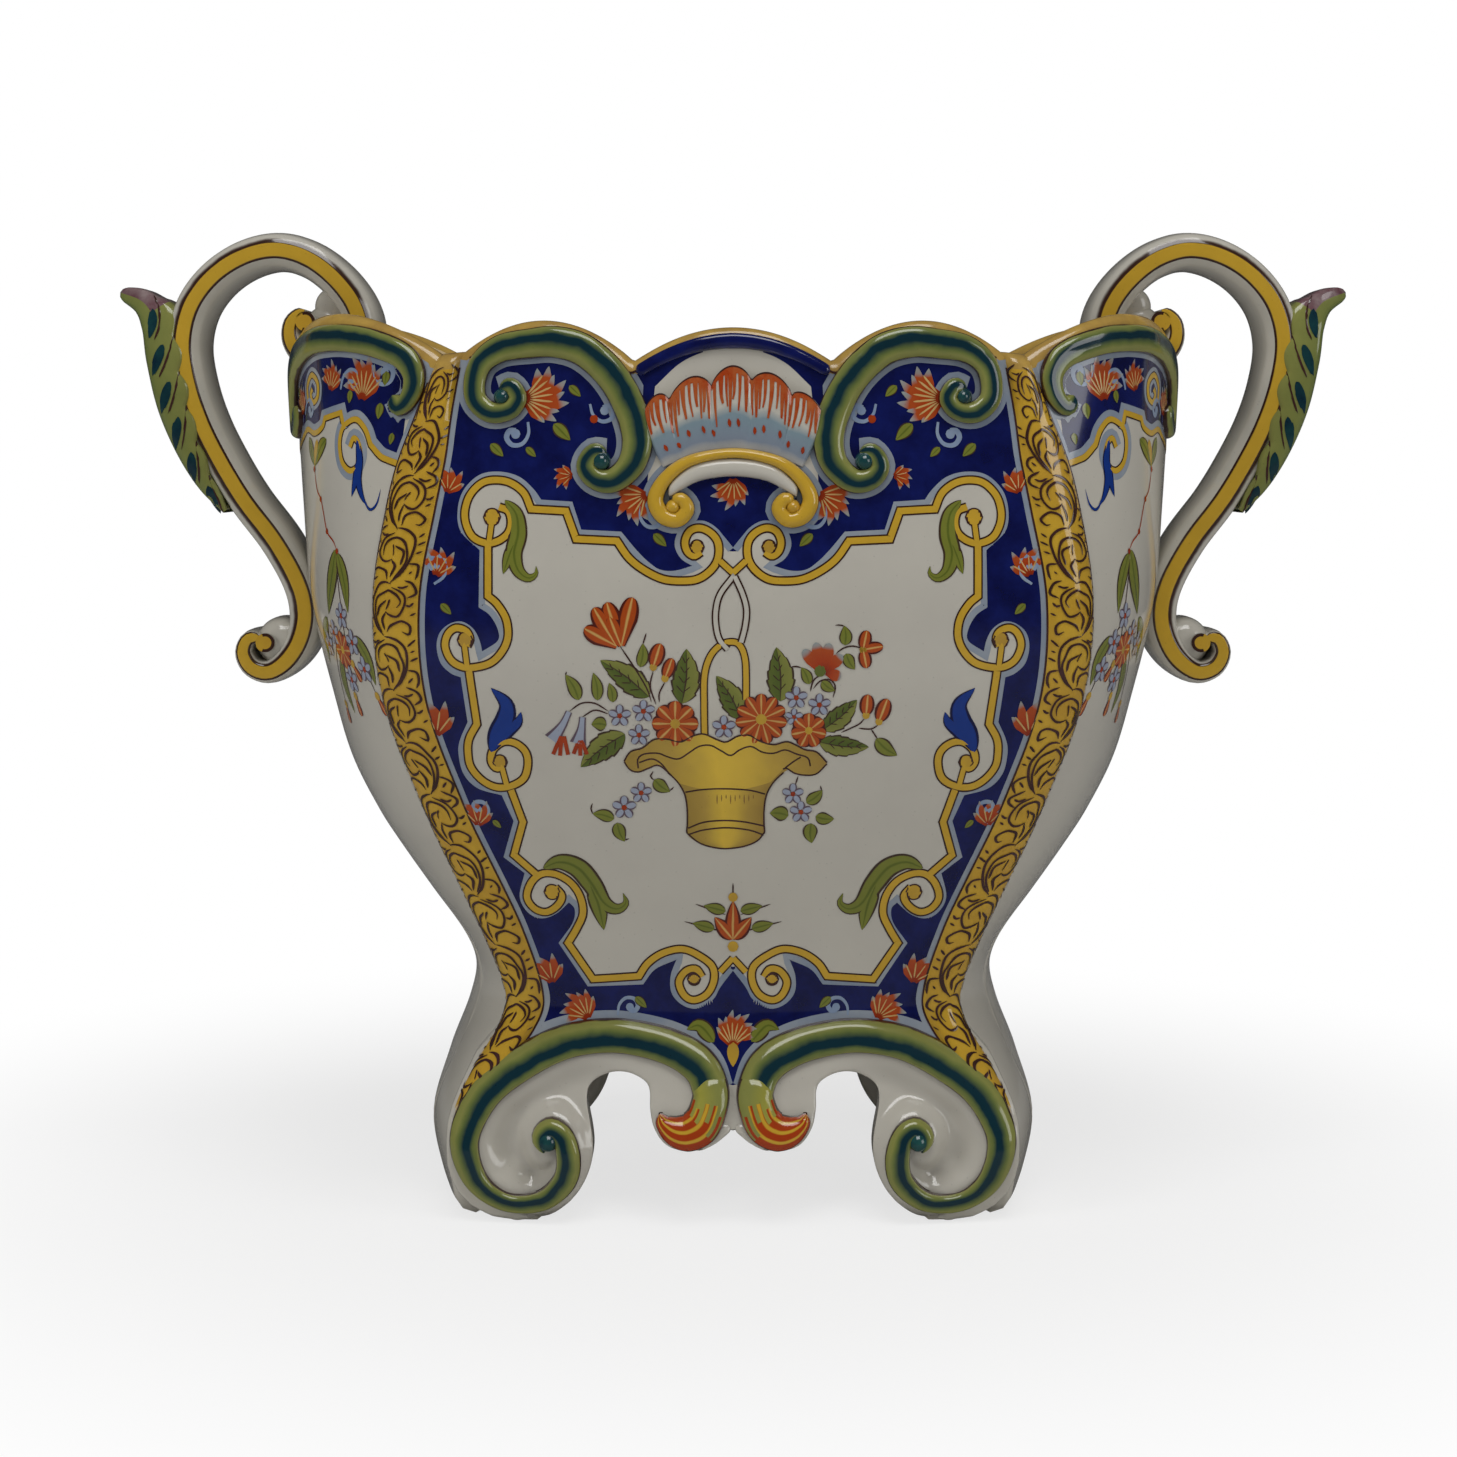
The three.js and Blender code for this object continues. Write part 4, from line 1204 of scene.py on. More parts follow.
# Leaves that hang from the frame's curls, in pairs: points, half width in millimetres and enamel
FIELD_LEAVES_SEEN = [
    ([(505, 500), (516, 514), (518, 534), (514, 553), (518, 570), (528, 578), (536, 574), (536, 566)],
     2.5, GREEN),
    ([(516, 540), (509, 556), (503, 574)], 1.7, GREEN),
    ([(491, 752), (497, 735), (505, 720), (506, 704), (491, 688)], 2.8, FLAME),
    ([(497, 742), (508, 730), (518, 722), (521, 712)], 2.0, FLAME),
    ([(543, 868), (560, 862), (578, 868), (592, 884), (604, 903), (617, 909), (626, 903), (623, 893)],
     3.0, GREEN),
    ([(590, 884), (598, 904), (604, 930)], 2.5, GREEN),
]
FIELD_EDGE_SEEN = [
    (733, 548, SHARP), (724, 537), (715, 527), (703, 521), (690, 523), (679, 531), (675, 545), (681, 558),
    (693, 566, SHARP), (675, 571), (660, 570), (648, 562), (636, 550), (621, 532, SHARP), (581, 530, SHARP),
    (572, 502, SHARP), (541, 500, SHARP), (533, 489), (519, 477), (500, 472), (480, 475), (464, 490),
    (458, 510), (461, 531), (480, 550, SHARP), (479, 607, SHARP), (490, 615), (498, 629), (498, 641),
    (482, 652, SHARP), (479, 640), (473, 629), (462, 622), (450, 624), (440, 633), (437, 647), (441, 663),
    (451, 673), (461, 677, SHARP), (468, 722, SHARP), (460, 741), (459, 755), (464, 774), (478, 788),
    (502, 795, SHARP), (514, 821, SHARP), (504, 857, SHARP), (525, 873, SHARP), (520, 896), (527, 911),
    (540, 918), (555, 914), (569, 902, SHARP), (575, 909), (573, 923), (559, 943, SHARP), (588, 986, SHARP),
    (643, 984, SHARP), (655, 969), (677, 959, SHARP), (671, 976), (672, 993), (683, 1005), (698, 1008),
    (713, 999), (720, 987), (733, 970, SHARP),
]
SHELL_FIELD_SEEN = [
    (733, 341), (705, 346), (677, 359), (650, 384, SHARP), (646, 420), (648, 450), (645, 475),
    (644, 488, SHARP), (658, 500, SHARP), (660, 480), (680, 462), (700, 454), (733, 450),
]
# Fans: root pixel, direction in degrees from upright, positive outwards from the middle, length and petals
FANS_SEEN = [
    (447, 492, -22, 7.5, 5), (436, 575, -24, 8.5, 5), (436, 735, -2, 10.5, 5), (478, 825, -6, 8.0, 5),
    (552, 982, 14, 9, 5), (588, 1018, 30, 9.0, 7), (524, 398, -96, 12.5, 9), (572, 476, 85, 5.6, 5),
    (646, 495, 112, 9.5, 7),
]
# Curls: start pixel, direction, size in millimetres and which way they turn
CURLS_SEEN = [
    (434, 584, -60, 7.5, 1), (478, 824, -60, 6.5, 1), (618, 1015, 0, 6.5, -1), (528, 422, -170, 7.5, -1),
    (590, 404, -170, 7.0, 1), (640, 506, 175, 7.0, 1),
]
GREEN_DROPS_SEEN = [(562, 432, 4.4), (575, 391, 3.0), (497, 450, 3.4), (660, 540, 3.3), (446, 609, 2.8),
                    (641, 1002, 3.0), (497, 824, 2.2), (531, 452, 2.6)]
RED_DAB_SEEN = (594, 419)
# Lines along the corner bands: lowest height, distance from the band, half width, lift and enamel
BAND_EDGE_LINES = [(44, 0.85, 0.95, MARGIN_LIFT, PALE), (30, 0.05, 0.32, DETAIL_LIFT, LINE_BROWN)]


def within(x, z, outline):
    """Whether a point lies inside a closed outline."""
    inside = False
    for (ax, az), (bx, bz) in zip(outline, outline[1:] + outline[:1]):
        if (az > z) != (bz > z) and x < (bx - ax) * (z - az) / (bz - az) + ax:
            inside = not inside
    return inside


def closed_half(points, inset=0.7):
    """Closed outline, a little inside a field whose points run from the middle line round to it again."""
    line = trace(seen_path(points), 1.0)
    line = [point - side * inset for point, side in zip(line, mitred(line))]
    return [(-4, line[0].y)] + [tuple(point) for point in line] + [(-4, line[-1].y)]


FIELD = closed_half(FIELD_EDGE_SEEN)
SHELL_FIELD = closed_half(SHELL_FIELD_SEEN)
COBALT_FOOT = smooth([(0, 36.4), (1.6, 37), (4.4, 40), (8.8, 41), (17.7, 45.3), (28.3, 47.7), (37.3, 47.7),
                      (46.9, 45.5), (57.5, 40.2), (62, 37)])


def is_cobalt(x, z):
    """Whether the ground of the front panel is cobalt there, rather than white."""
    return z > COBALT_FOOT(round(abs(x), 2)) and not within(x, z, FIELD) and not within(x, z, SHELL_FIELD)


def flame_width(share):
    """Narrow at the root, fullest past the middle and pointed at the tip."""
    return (0.4 + 0.6 * min(1.0, share / 0.5)) * min(1.0, (1.001 - share) / 0.4) ** 0.75


def fan(mesh, centre, angle, size, petals, place, bend=0.25):
    """Palmette of narrow brushed flames that spread from one root and sweep to one side."""
    at = local(centre, angle, size)
    for k in range(petals):
        share = 2 * k / (petals - 1) - 1
        lean = math.radians(58 * share)
        length = (1 - 0.22 * abs(share) ** 1.5) * (1.0 if k % 2 else 0.88)
        middle = (0.5 * length * math.sin(lean * 0.8), 0.55 * length * math.cos(lean * 0.8))
        tip_at = (length * math.sin(lean + bend), length * math.cos(lean + bend))
        flame = at([(0.04 * share, 0), middle, tip_at])
        stroke(mesh, flame, 0.135 * size, place, FILL_LIFT + 0.006 * (k % 2), PALMETTE, flame_width, 0.5)
        if k:
            gap = math.radians(58 * (share - 1 / (petals - 1)))
            between = [(0.14 * math.sin(gap), 0.14 * math.cos(gap)),
                       (0.62 * math.sin(gap + 0.1), 0.62 * math.cos(gap + 0.1))]
            stroke(mesh, at(between), 0.022 * size, place, DETAIL_LIFT, YELLOW_LINE, brush_width, 0.6)


def curl(mesh, centre, angle, size, hand, place):
    """Pale blue tendril with a rolled end."""
    at = local(centre, angle, size, hand)
    path = [(0, 0), (0.05, 0.42), (0.32, 0.72), (0.68, 0.70), (0.84, 0.42), (0.70, 0.20), (0.48, 0.24)]
    stroke(mesh, at(path), 0.11 * size, place, FILL_LIFT, BLUE_LINE, lambda share: 0.4 + 0.6 * share, 0.5)
    dot(mesh, at([(0.50, 0.34)])[0], 0.17 * size, place, FILL_LIFT + 0.01, BLUE_LINE)


def painted_frame(mesh, place):
    """Gold frame with its pale margin on the cobalt side."""
    ribbon(mesh, seen_path(FIELD_EDGE_SEEN), 0.1, 1.6, place, MARGIN_LIFT, PALE, full_width, 0.6)
    crest = seen_path(SHELL_FIELD_SEEN[:5])
    ribbon(mesh, crest, 1.7, 1.4, place, MARGIN_LIFT - 0.02, COBALT_FILL, full_width, 0.6)
    for points in (FRAME_TOP_SEEN, FRAME_SIDE_SEEN, FRAME_WAIST_SEEN, FRAME_LOW_SEEN, FRAME_FOOT_SEEN):
        stroke(mesh, seen_path(points), FRAME_HALF, place, GOLD_LIFT, GOLD_STRIP, full_width, 0.6)
    for column, row, radius in FRAME_EYES_SEEN:
        dot(mesh, seen(column, row), radius + 0.25, place, GOLD_LIFT + 0.02, LINE_BROWN)
        dot(mesh, seen(column, row), radius - 0.15, place, GOLD_LIFT + 0.03, YELLOW)
    for bar in FRAME_BARS_SEEN:
        stroke(mesh, seen_path(bar), 1.0, place, GOLD_LIFT + 0.01, GOLD_STRIP, full_width)
    for join in FRAME_JOINS_SEEN:
        stroke(mesh, seen_path(join), 1.1, place, GOLD_LIFT + 0.02, GOLD_STRIP, full_width)


def field_leaves(mesh, place):
    """Leaves that hang into the white field, two at each curl, the second a little under the first."""
    for k, (points, half, paint) in enumerate(FIELD_LEAVES_SEEN):
        stroke(mesh, seen_path(points), half, place, FILL_LIFT - 0.01 * (k % 2), paint, leaf_width)


def front_ornament(mesh, side):
    """Frame, field leaves, fans, curls and margins of one half of the front."""
    def place(x, z, out):
        return front_at(side * x, z, out)

    painted_frame(mesh, place)
    field_leaves(mesh, place)
    for column, row, angle, size, petals in FANS_SEEN:
        fan(mesh, seen(column, row), angle, size, petals, place)
    for column, row, angle, size, hand in CURLS_SEEN:
        curl(mesh, seen(column, row), angle, size, hand, place)
    for column, row, size in GREEN_DROPS_SEEN:
        x, z = seen(column, row)
        drop = [(x + size / 2, z + size / 2), (x - size / 2, z - size / 2)]
        stroke(mesh, drop, size * 0.42, place, DETAIL_LIFT, GREEN, leaf_width, 0.5)
    dot(mesh, seen(*RED_DAB_SEEN), 1.1, place, DETAIL_LIFT, ORANGE)
    scroll_margin(mesh, RIM_SCROLL, place)
    scroll_margin(mesh, ARCH_GOLD_HALF, place)
    ribbon(mesh, [(x, z) for x, z, _ in FOOT_SCROLL[1:8]], 6.3, -2.0, place, MARGIN_LIFT, PALE, full_width)
    for start, apart, half, lift, paint in BAND_EDGE_LINES:
        edge = [(front_point(front_share(z, band_width(z) + apart), z)[0], z) for z in range(start, 232, 6)]
        stroke(mesh, edge, half, place, lift, paint, full_width)
    rim = [(k / 40, front_rim(k / 40) - LIP - 0.2) for k in range(38)]
    rim = [(front_point(u, z)[0], z) for u, z in rim]
    stroke(mesh, rim, 0.28, place, DETAIL_LIFT, LINE_BROWN, full_width)


def scroll_margin(mesh, path, place):
    """Pale reserve that follows an applied scroll on both sides and stops under the gold of the rim."""
    half = half_width(path)

    def under_rim(x, z, out):
        return place(x, min(z, front_rim(x / corner_x(RIM_VALLEY)) - LIP - 0.4), out)

    stroke(mesh, [(x, z) for x, z, _ in path], 1.0, under_rim, MARGIN_LIFT - 0.02, PALE,
           lambda share: half(round(share, 3)) + SCROLL_MARGIN)


def shell_painting(mesh):
    """Brushed orange lobes, their brown outline and a row of red touches low on the shell."""
    def place(x, z, out):
        """Point of the shell, whose half width and height are both 20 units here."""
        return front_at(*shell_surface(x / 20, z / 20, out))

    crest = [(-19.6 + 39.2 * k / 60, 19.0) for k in range(61)]
    stroke(mesh, crest, 0.85, place, FILL_LIFT, SHELL_ORANGE, full_width, 0.4)
    stroke(mesh, [(x, 19.8) for x, _ in crest], 0.22, place, LINE_LIFT, LINE_BROWN, full_width, 0.4)
    for k in range(34):
        x = -19.2 + 38.4 * (k + 0.25 * math.sin(5.1 * k)) / 33
        notch = min(abs(x * SHELL_HALF / 20 - notch_x) for notch_x, _ in SHELL_NOTCHES[1:-1])
        low = 10.2 + 1.7 * math.sin(2.3 * k) - (2.2 if notch < 1.2 else 0.0)
        streak = [(x, 19), (x, 14), (x + 0.35 * math.sin(k), low)]
        half, lift = 0.50 + 0.12 * math.sin(3.7 * k), FILL_LIFT + 0.005 * (k % 3)
        stroke(mesh, streak, half, place, lift, SHELL_ORANGE, lambda share: 1 - 0.6 * share, 0.6)
    for k in range(12):
        x = -17.5 + 3.2 * k + 0.5 * math.sin(2.9 * k)
        z = 4.4 + 1.6 * math.sin(math.pi * k / 11) + 0.7 * math.sin(4.3 * k)
        stroke(mesh, [(x, z + 1.0), (x + 0.3, z - 1.0)], 0.42, place, DETAIL_LIFT, ORANGE)


def front_painting():
    """Painting of the front and its shell, repeated on the back."""
    mesh = new_mesh()
    for side in (-1, 1):
        front_ornament(mesh, side)
    centre_motifs(mesh)
    shell_painting(mesh)
    face_outwards(mesh, (0, -1, 0))
    piece = finished("front_painting", mesh, paints, weld=False)
    copy_piece(piece, "back_painting", TURN)


def face_outwards(mesh, outward):
    """Turns every painted face to the side it is seen from."""
    mesh.normal_update()
    wrong = [face for face in mesh.faces if face.normal.dot(Vector(outward)) < 0]
    bmesh.ops.reverse_faces(mesh, faces=wrong)


def blossom_width(share):
    """Broad petal, fullest beyond its middle, with a round tip."""
    tip = math.sqrt(max(0.0, 1 - max(0.0, (share - 0.62) / 0.38) ** 2))
    return (0.35 + 0.65 * min(1.0, share / 0.55)) * tip + 0.02


def daisy(mesh, centre, radius, petals, slot, heart, place):
    """Flower seen from the front: round petals where there are five, else close brushed ones."""
    for k in range(petals):
        at = local(centre, 360 * k / petals, radius)
        shape, half = (round_width, 0.36) if petals == 5 else (blossom_width, 2.9 / petals)
        lift = DETAIL_LIFT + 0.03 + 0.004 * (k % 2)
        stroke(mesh, at([(0, 0.2), (0, 1)]), radius * half, place, lift, slot, shape, 0.3)
    dot(mesh, centre, radius * 0.22, place, LINE_LIFT + 0.01, heart)


def bud(mesh, centre, angle, size, place):
    """Hanging bud with a yellow foot."""
    at = local(centre, angle, size)
    stroke(mesh, at([(0, 0), (0, 1)]), 0.34 * size, place, DETAIL_LIFT, PETAL, petal_width, 0.4)
    dot(mesh, centre, 0.22 * size, place, DETAIL_LIFT + 0.02, YELLOW)


def stem(mesh, points, place):
    """Thin brown line."""
    stroke(mesh, points, 0.20, place, FILL_LIFT + 0.02, LINE_BROWN)


# Bouquet and basket, read from an enlargement of the photograph: its corner in photograph pixels, its scale
ENLARGED_CORNER = (545, 580)
ENLARGED_BY = 4.417
ENLARGED_MM = PIXEL_MM / ENLARGED_BY

# Leaves as root, tip and half width, toothed ones first
BIG_LEAVES = [((460, 515), (245, 355), 62), ((605, 545), (625, 305), 66), ((352, 680), (158, 826), 62),
              ((870, 615), (757, 424), 58), ((1040, 535), (1022, 298), 64), ((1228, 662), (1378, 530), 52),
              ((1212, 716), (1430, 738), 50)]
SMALL_LEAVES = [((150, 530), (90, 418), 32), ((232, 532), (213, 410), 28), ((300, 540), (283, 455), 24),
                ((272, 640), (205, 638), 34), ((420, 385), (432, 280), 28), ((1325, 288), (1322, 202), 30),
                ((1330, 325), (1368, 395), 28), ((1168, 460), (1132, 386), 26),
                ((1222, 448), (1280, 490), 26), ((1462, 702), (1555, 775), 36), ((482, 882), (552, 935), 32),
                ((305, 1055), (210, 1032), 30), ((318, 1072), (352, 1155), 32),
                ((1155, 985), (1225, 928), 30), ((1075, 1040), (993, 1030), 36),
                ((1195, 1045), (1277, 1055), 30), ((1175, 1075), (1178, 1162), 34)]
STEMS = [[(330, 290), (400, 395), (450, 480), (470, 540)], [(478, 400), (465, 470), (490, 550)],
         [(530, 450), (505, 500), (505, 540)], [(432, 285), (447, 235)],
         [(280, 580), (220, 545), (160, 545), (108, 580)], [(280, 592), (220, 575), (165, 605)],
         [(90, 420), (95, 405)], [(1285, 325), (1320, 300), (1360, 292), (1400, 302)],
         [(1325, 205), (1305, 199), (1282, 200)], [(1215, 420), (1185, 445), (1172, 492)],
         [(1185, 480), (1215, 447), (1258, 440), (1282, 470), (1272, 520)],
         [(1132, 388), (1110, 382), (1085, 385)], [(1412, 610), (1390, 635), (1350, 655), (1308, 674)],
         [(1472, 640), (1440, 658), (1385, 655)], [(1440, 658), (1470, 704)],
         [(478, 845), (466, 868), (482, 884)], [(550, 932), (570, 914)],
         [(212, 1034), (203, 1010), (210, 986)], [(350, 1150), (372, 1142)], [(1118, 866), (1106, 905)],
         [(1222, 932), (1216, 908)]]
BUDS = [((478, 385), (510, 280), 36), ((530, 435), (562, 345), 30), ((1418, 598), (1426, 505), 34),
        ((1475, 626), (1512, 524), 36), ((1405, 308), (1422, 222), 30), ((1405, 308), (1494, 292), 28),
        ((1405, 308), (1422, 390), 30)]
TULIP = [((330, 288), (272, 98), 42), ((312, 286), (214, 122), 40), ((318, 292), (172, 214), 42),
         ((338, 290), (386, 76), 44), ((336, 292), (284, 162), 36)]
PINK = [((1225, 410), (1140, 308), 26), ((1228, 405), (1195, 276), 26), ((1235, 405), (1256, 278), 26),
        ((1240, 405), (1312, 330), 26), ((1240, 410), (1308, 428), 26)]
PINK_CALYX = (1215, 402)
BELLS = [((106, 582), (78, 640), (30, 706)), ((166, 606), (160, 660), (146, 722))]
STAMENS = [((70, 690), (36, 770)), ((74, 690), (66, 776)), ((84, 690), (102, 772)), ((150, 708), (126, 768)),
           ((154, 708), (156, 776)), ((160, 708), (186, 770))]
FLORETS = [(330, 600, 52), (435, 580, 52), (415, 685, 50), (1100, 605, 40), (790, 650, 54), (1110, 520, 52),
           (1212, 552, 52), (425, 940, 50), (350, 1005, 56), (1095, 945, 50), (1130, 1025, 52)]
DAISIES = [(575, 635, 104, 8), (955, 615, 116, 11), (1165, 665, 80, 7)]

# Basket: upper and lower edge of the wavy rim, its folds, and half widths of the bowl by row
RIM_TOP = smooth([(350, 800), (375, 760), (430, 742), (480, 705), (540, 703), (600, 715), (650, 690),
                  (700, 680), (760, 705), (800, 716), (850, 690), (900, 685), (950, 712), (1010, 727),
                  (1070, 714), (1110, 730), (1150, 750), (1200, 760), (1245, 806)])
RIM_LOW = smooth([(350, 802), (372, 835), (410, 848), (455, 832), (500, 818), (545, 850), (600, 900),
                  (800, 930), (990, 895), (1030, 858), (1060, 830), (1100, 852), (1150, 862), (1200, 855),
                  (1245, 812)])
BASKET_FOLDS = [
    [(412, 832), (410, 790), (440, 768), (500, 765), (540, 780), (590, 790), (640, 760), (680, 735),
     (730, 730), (780, 755), (820, 775), (860, 750), (910, 735), (960, 760), (1010, 765), (1060, 750),
     (1110, 768), (1160, 785), (1172, 822)], [(416, 806), (470, 790), (510, 808), (545, 850)],
    [(1060, 830), (1100, 800), (1130, 782)], [(620, 937), (700, 925), (800, 922), (900, 928), (972, 945)],
    [(632, 1096), (700, 1070), (790, 1062), (880, 1068), (968, 1086)],
    [(634, 1124), (700, 1104), (800, 1094), (900, 1104), (966, 1126)],
    [(630, 1120), (680, 1160), (740, 1180), (800, 1186), (880, 1176), (940, 1150), (970, 1112)],
]
RIM_LEFT, RIM_RIGHT = 350, 1245
BOWL_TOP, BOWL_FOOT = 780, 1186
BOWL_MIDDLE = 798
BOWL_SIDE_ROWS = range(850, 1125, 15)
BOWL_SHADE = (760, 948)
BOWL_HALF = smooth([(780, 330), (830, 282), (860, 244), (900, 206), (950, 180), (1010, 170), (1080, 169),
                    (1120, 170), (1150, 140), (1175, 80), (1186, 10)])
BASKET_HANDLE = [(705, 700), (703, 560), (703, 440), (716, 370), (745, 315), (790, 280), (840, 275),
                 (868, 300), (884, 350), (888, 420), (888, 530)]
RINGS = [[(832, -16), (775, 60), (755, 130), (755, 200), (770, 262), (806, 306)],
         [(838, -16), (872, 60), (890, 130), (885, 200), (866, 276)]]


def drawn(column, row):
    """Front panel position of a point of the enlargement, with x growing to the right."""
    photo_column = ENLARGED_CORNER[0] + column / ENLARGED_BY
    x, z = seen(photo_column, ENLARGED_CORNER[1] + row / ENLARGED_BY)
    return math.copysign(x, photo_column - CENTRE_COLUMN), z


def drawn_path(points):
    return [drawn(*point) for point in points]


def toothed_width(share):
    """Leaf with a saw-toothed edge."""
    return leaf_width(share) * (0.90 + 0.14 * (share * 5 % 1.0))


def petal(mesh, root, tip, half, place, slot, shape, lift=0.0, bend=0.0):
    """Leaf or petal from its root to its tip, bowed sideways by a share of its length."""
    root, tip = Vector(drawn(*root)), Vector(drawn(*tip))
    side = Vector((tip.y - root.y, root.x - tip.x)) * bend
    line = [tuple(point) for point in (root, (root + tip) / 2 + side, tip)]
    stroke(mesh, line, half * ENLARGED_MM, place, DETAIL_LIFT + lift, slot, shape, 0.35)


def bouquet(mesh, place):
    """Leaves, stems and flowers that stand in the basket and hang over its rim."""
    for root, tip, half in BIG_LEAVES:
        petal(mesh, root, tip, half, place, TWO_GREENS, toothed_width, -0.05, 0.04)
        start, run = Vector(drawn(*root)), Vector(drawn(*tip)) - Vector(drawn(*root))
        across = Vector((run.y, -run.x)).normalized() * half * ENLARGED_MM
        for k in (0.2, 0.38, 0.56, 0.74):
            for side in (-0.42, 0.42):
                vein = [start + run * k, start + run * (k + 0.12) + across * side * (1.3 - k)]
                vein = [tuple(point) for point in vein]
                stroke(mesh, vein, 0.13, place, DETAIL_LIFT, LINE_BROWN, brush_width, 0.4)
    for points in STEMS:
        stem(mesh, drawn_path(points), place)
    for root, tip, half in SMALL_LEAVES:
        petal(mesh, root, tip, half, place, GREEN, leaf_width, -0.01, 0.06)
    for root, tip, half in BUDS:
        petal(mesh, root, tip, half, place, PETAL, round_width, 0.02)
        dot(mesh, drawn(*root), 17 * ENLARGED_MM, place, LINE_LIFT, YELLOW)
    for petals, paint in ((TULIP, PETAL), (PINK, PALMETTE)):
        for k, (root, tip, half) in enumerate(petals):
            petal(mesh, root, tip, half, place, paint, blossom_width, 0.004 * k)
    dot(mesh, drawn(*PINK_CALYX), 26 * ENLARGED_MM, place, LINE_LIFT, LEAF_SPOT)
    for bell in BELLS:
        stroke(mesh, drawn_path(bell), 38 * ENLARGED_MM, place, DETAIL_LIFT, BLUE_PETAL,
               lambda share: 0.4 + 0.6 * share ** 2, 0.35)
    for stamen in STAMENS:
        stroke(mesh, drawn_path(stamen), 9 * ENLARGED_MM, place, DETAIL_LIFT + 0.01, ORANGE, full_width, 0.4)
    for column, row, radius in FLORETS:
        daisy(mesh, drawn(column, row), radius * ENLARGED_MM, 5, BLUE_PETAL, ORANGE, place)
    for column, row, radius, petals in DAISIES:
        daisy(mesh, drawn(column, row), radius * ENLARGED_MM, petals, PETAL, YELLOW, place)


def basket(mesh, place):
    """Golden bowl with a wavy rim, brown folds, a little shade, and a handle with two rings."""
    def bowl(u, v):
        row = mix(BOWL_FOOT, BOWL_TOP, v)
        x, z = drawn(BOWL_MIDDLE + mix(-1, 1, u) * BOWL_HALF(round(row, 2)), row)
        return place(x, z, DETAIL_LIFT)

    def wavy_rim(u, v):
        column = mix(RIM_LEFT, RIM_RIGHT, u)
        x, z = drawn(column, mix(RIM_LOW(round(column, 2)), RIM_TOP(round(column, 2)), v))
        return place(x, z, DETAIL_LIFT + 0.03)

    patch(mesh, 24, 40, bowl, slot=BASKET_GOLD)
    patch(mesh, 90, 8, wavy_rim, slot=BASKET_GOLD)
    edges = []
    for edge, steps in ((RIM_TOP, range(61)), (RIM_LOW, range(15)), (RIM_LOW, range(47, 61))):
        columns = [mix(RIM_LEFT, RIM_RIGHT, k / 60) for k in steps]
        edges.append([(column, edge(round(column, 2))) for column in columns])
    for hand in (-1, 1):
        edges.append([(BOWL_MIDDLE + hand * BOWL_HALF(row), row) for row in BOWL_SIDE_ROWS])
    for points in edges + BASKET_FOLDS:
        stroke(mesh, drawn_path(points), 0.22, place, LINE_LIFT + 0.02, LINE_BROWN, full_width)
    for k in range(9):
        column = BOWL_SHADE[0] + 20 * k
        shade = [(column, BOWL_SHADE[1]), (column, BOWL_SHADE[1] + 42 - 12 * (k % 3))]
        stroke(mesh, drawn_path(shade), 0.16, place, LINE_LIFT, SHADE_LINE)
    stroke(mesh, drawn_path(BASKET_HANDLE), 18 * ENLARGED_MM, place, FILL_LIFT, GOLD_STRIP, full_width, 0.6)
    for k, ring in enumerate(RINGS):
        lift = FILL_LIFT + 0.02 + 0.02 * k
        stroke(mesh, drawn_path(ring), 17 * ENLARGED_MM, place, lift, RING_PAINT, full_width, 0.6)


# Rows of the photograph at which the motifs on the middle line have their roots
UPPER_FAN_ROW = 479
FLOWER_ROW = 950
LOWER_FAN_ROW = 1046


def centre_motifs(mesh):
    """What stands on the middle line of the front."""
    place = front_at
    bouquet(mesh, place)
    basket(mesh, place)
    fan(mesh, (0, seen(CENTRE_COLUMN, UPPER_FAN_ROW)[1]), 180, 8.5, 7, place)
    foot = seen(CENTRE_COLUMN, LOWER_FAN_ROW)[1]
    fan(mesh, (0, foot), 0, 9.5, 9, place)
    for side in (-1, 1):
        leaf = [(side * 5, foot + 1), (side * 9, foot + 5), (side * 12.5, foot + 4)]
        stroke(mesh, leaf, 2.2, place, FILL_LIFT, GREEN, leaf_width)
    stroke(mesh, [(0, foot + 1), (0, foot - 5)], 1.6, place, DETAIL_LIFT, YELLOW, leaf_width)
    low = seen(CENTRE_COLUMN, FLOWER_ROW)[1]
    dot(mesh, (0, low + 1), 1.5, place, LINE_LIFT, YELLOW)
    for lean in (-38, 38, 0):
        at = local((0, low + 3), lean, 8 if lean else 11)
        stroke(mesh, at([(0, 0), (0, 1)]), 2.2, place, DETAIL_LIFT, PETAL, leaf_width, 0.4)
    dot(mesh, (0, low + 15), 1.3, place, LINE_LIFT, YELLOW)
    stem(mesh, [(0, low + 15), (0, low + 19)], place)
    for side in (-1, 1):
        for lift, reach in ((6, 7), (11, 4)):
            stem(mesh, [(side * 2, low + lift - 1), (side * (reach + 6), low + lift + 2)], place)
            at = local((side * (reach - 2), low + lift), side * 75, 6)
            stroke(mesh, at([(0, 0), (0, 1)]), 1.7, place, DETAIL_LIFT, GREEN, leaf_width, 0.4)


body_skin()
front_painting()

# Corner bands: a running row of foliate scrolls with lobes and leaf strokes, mirrored turn by turn

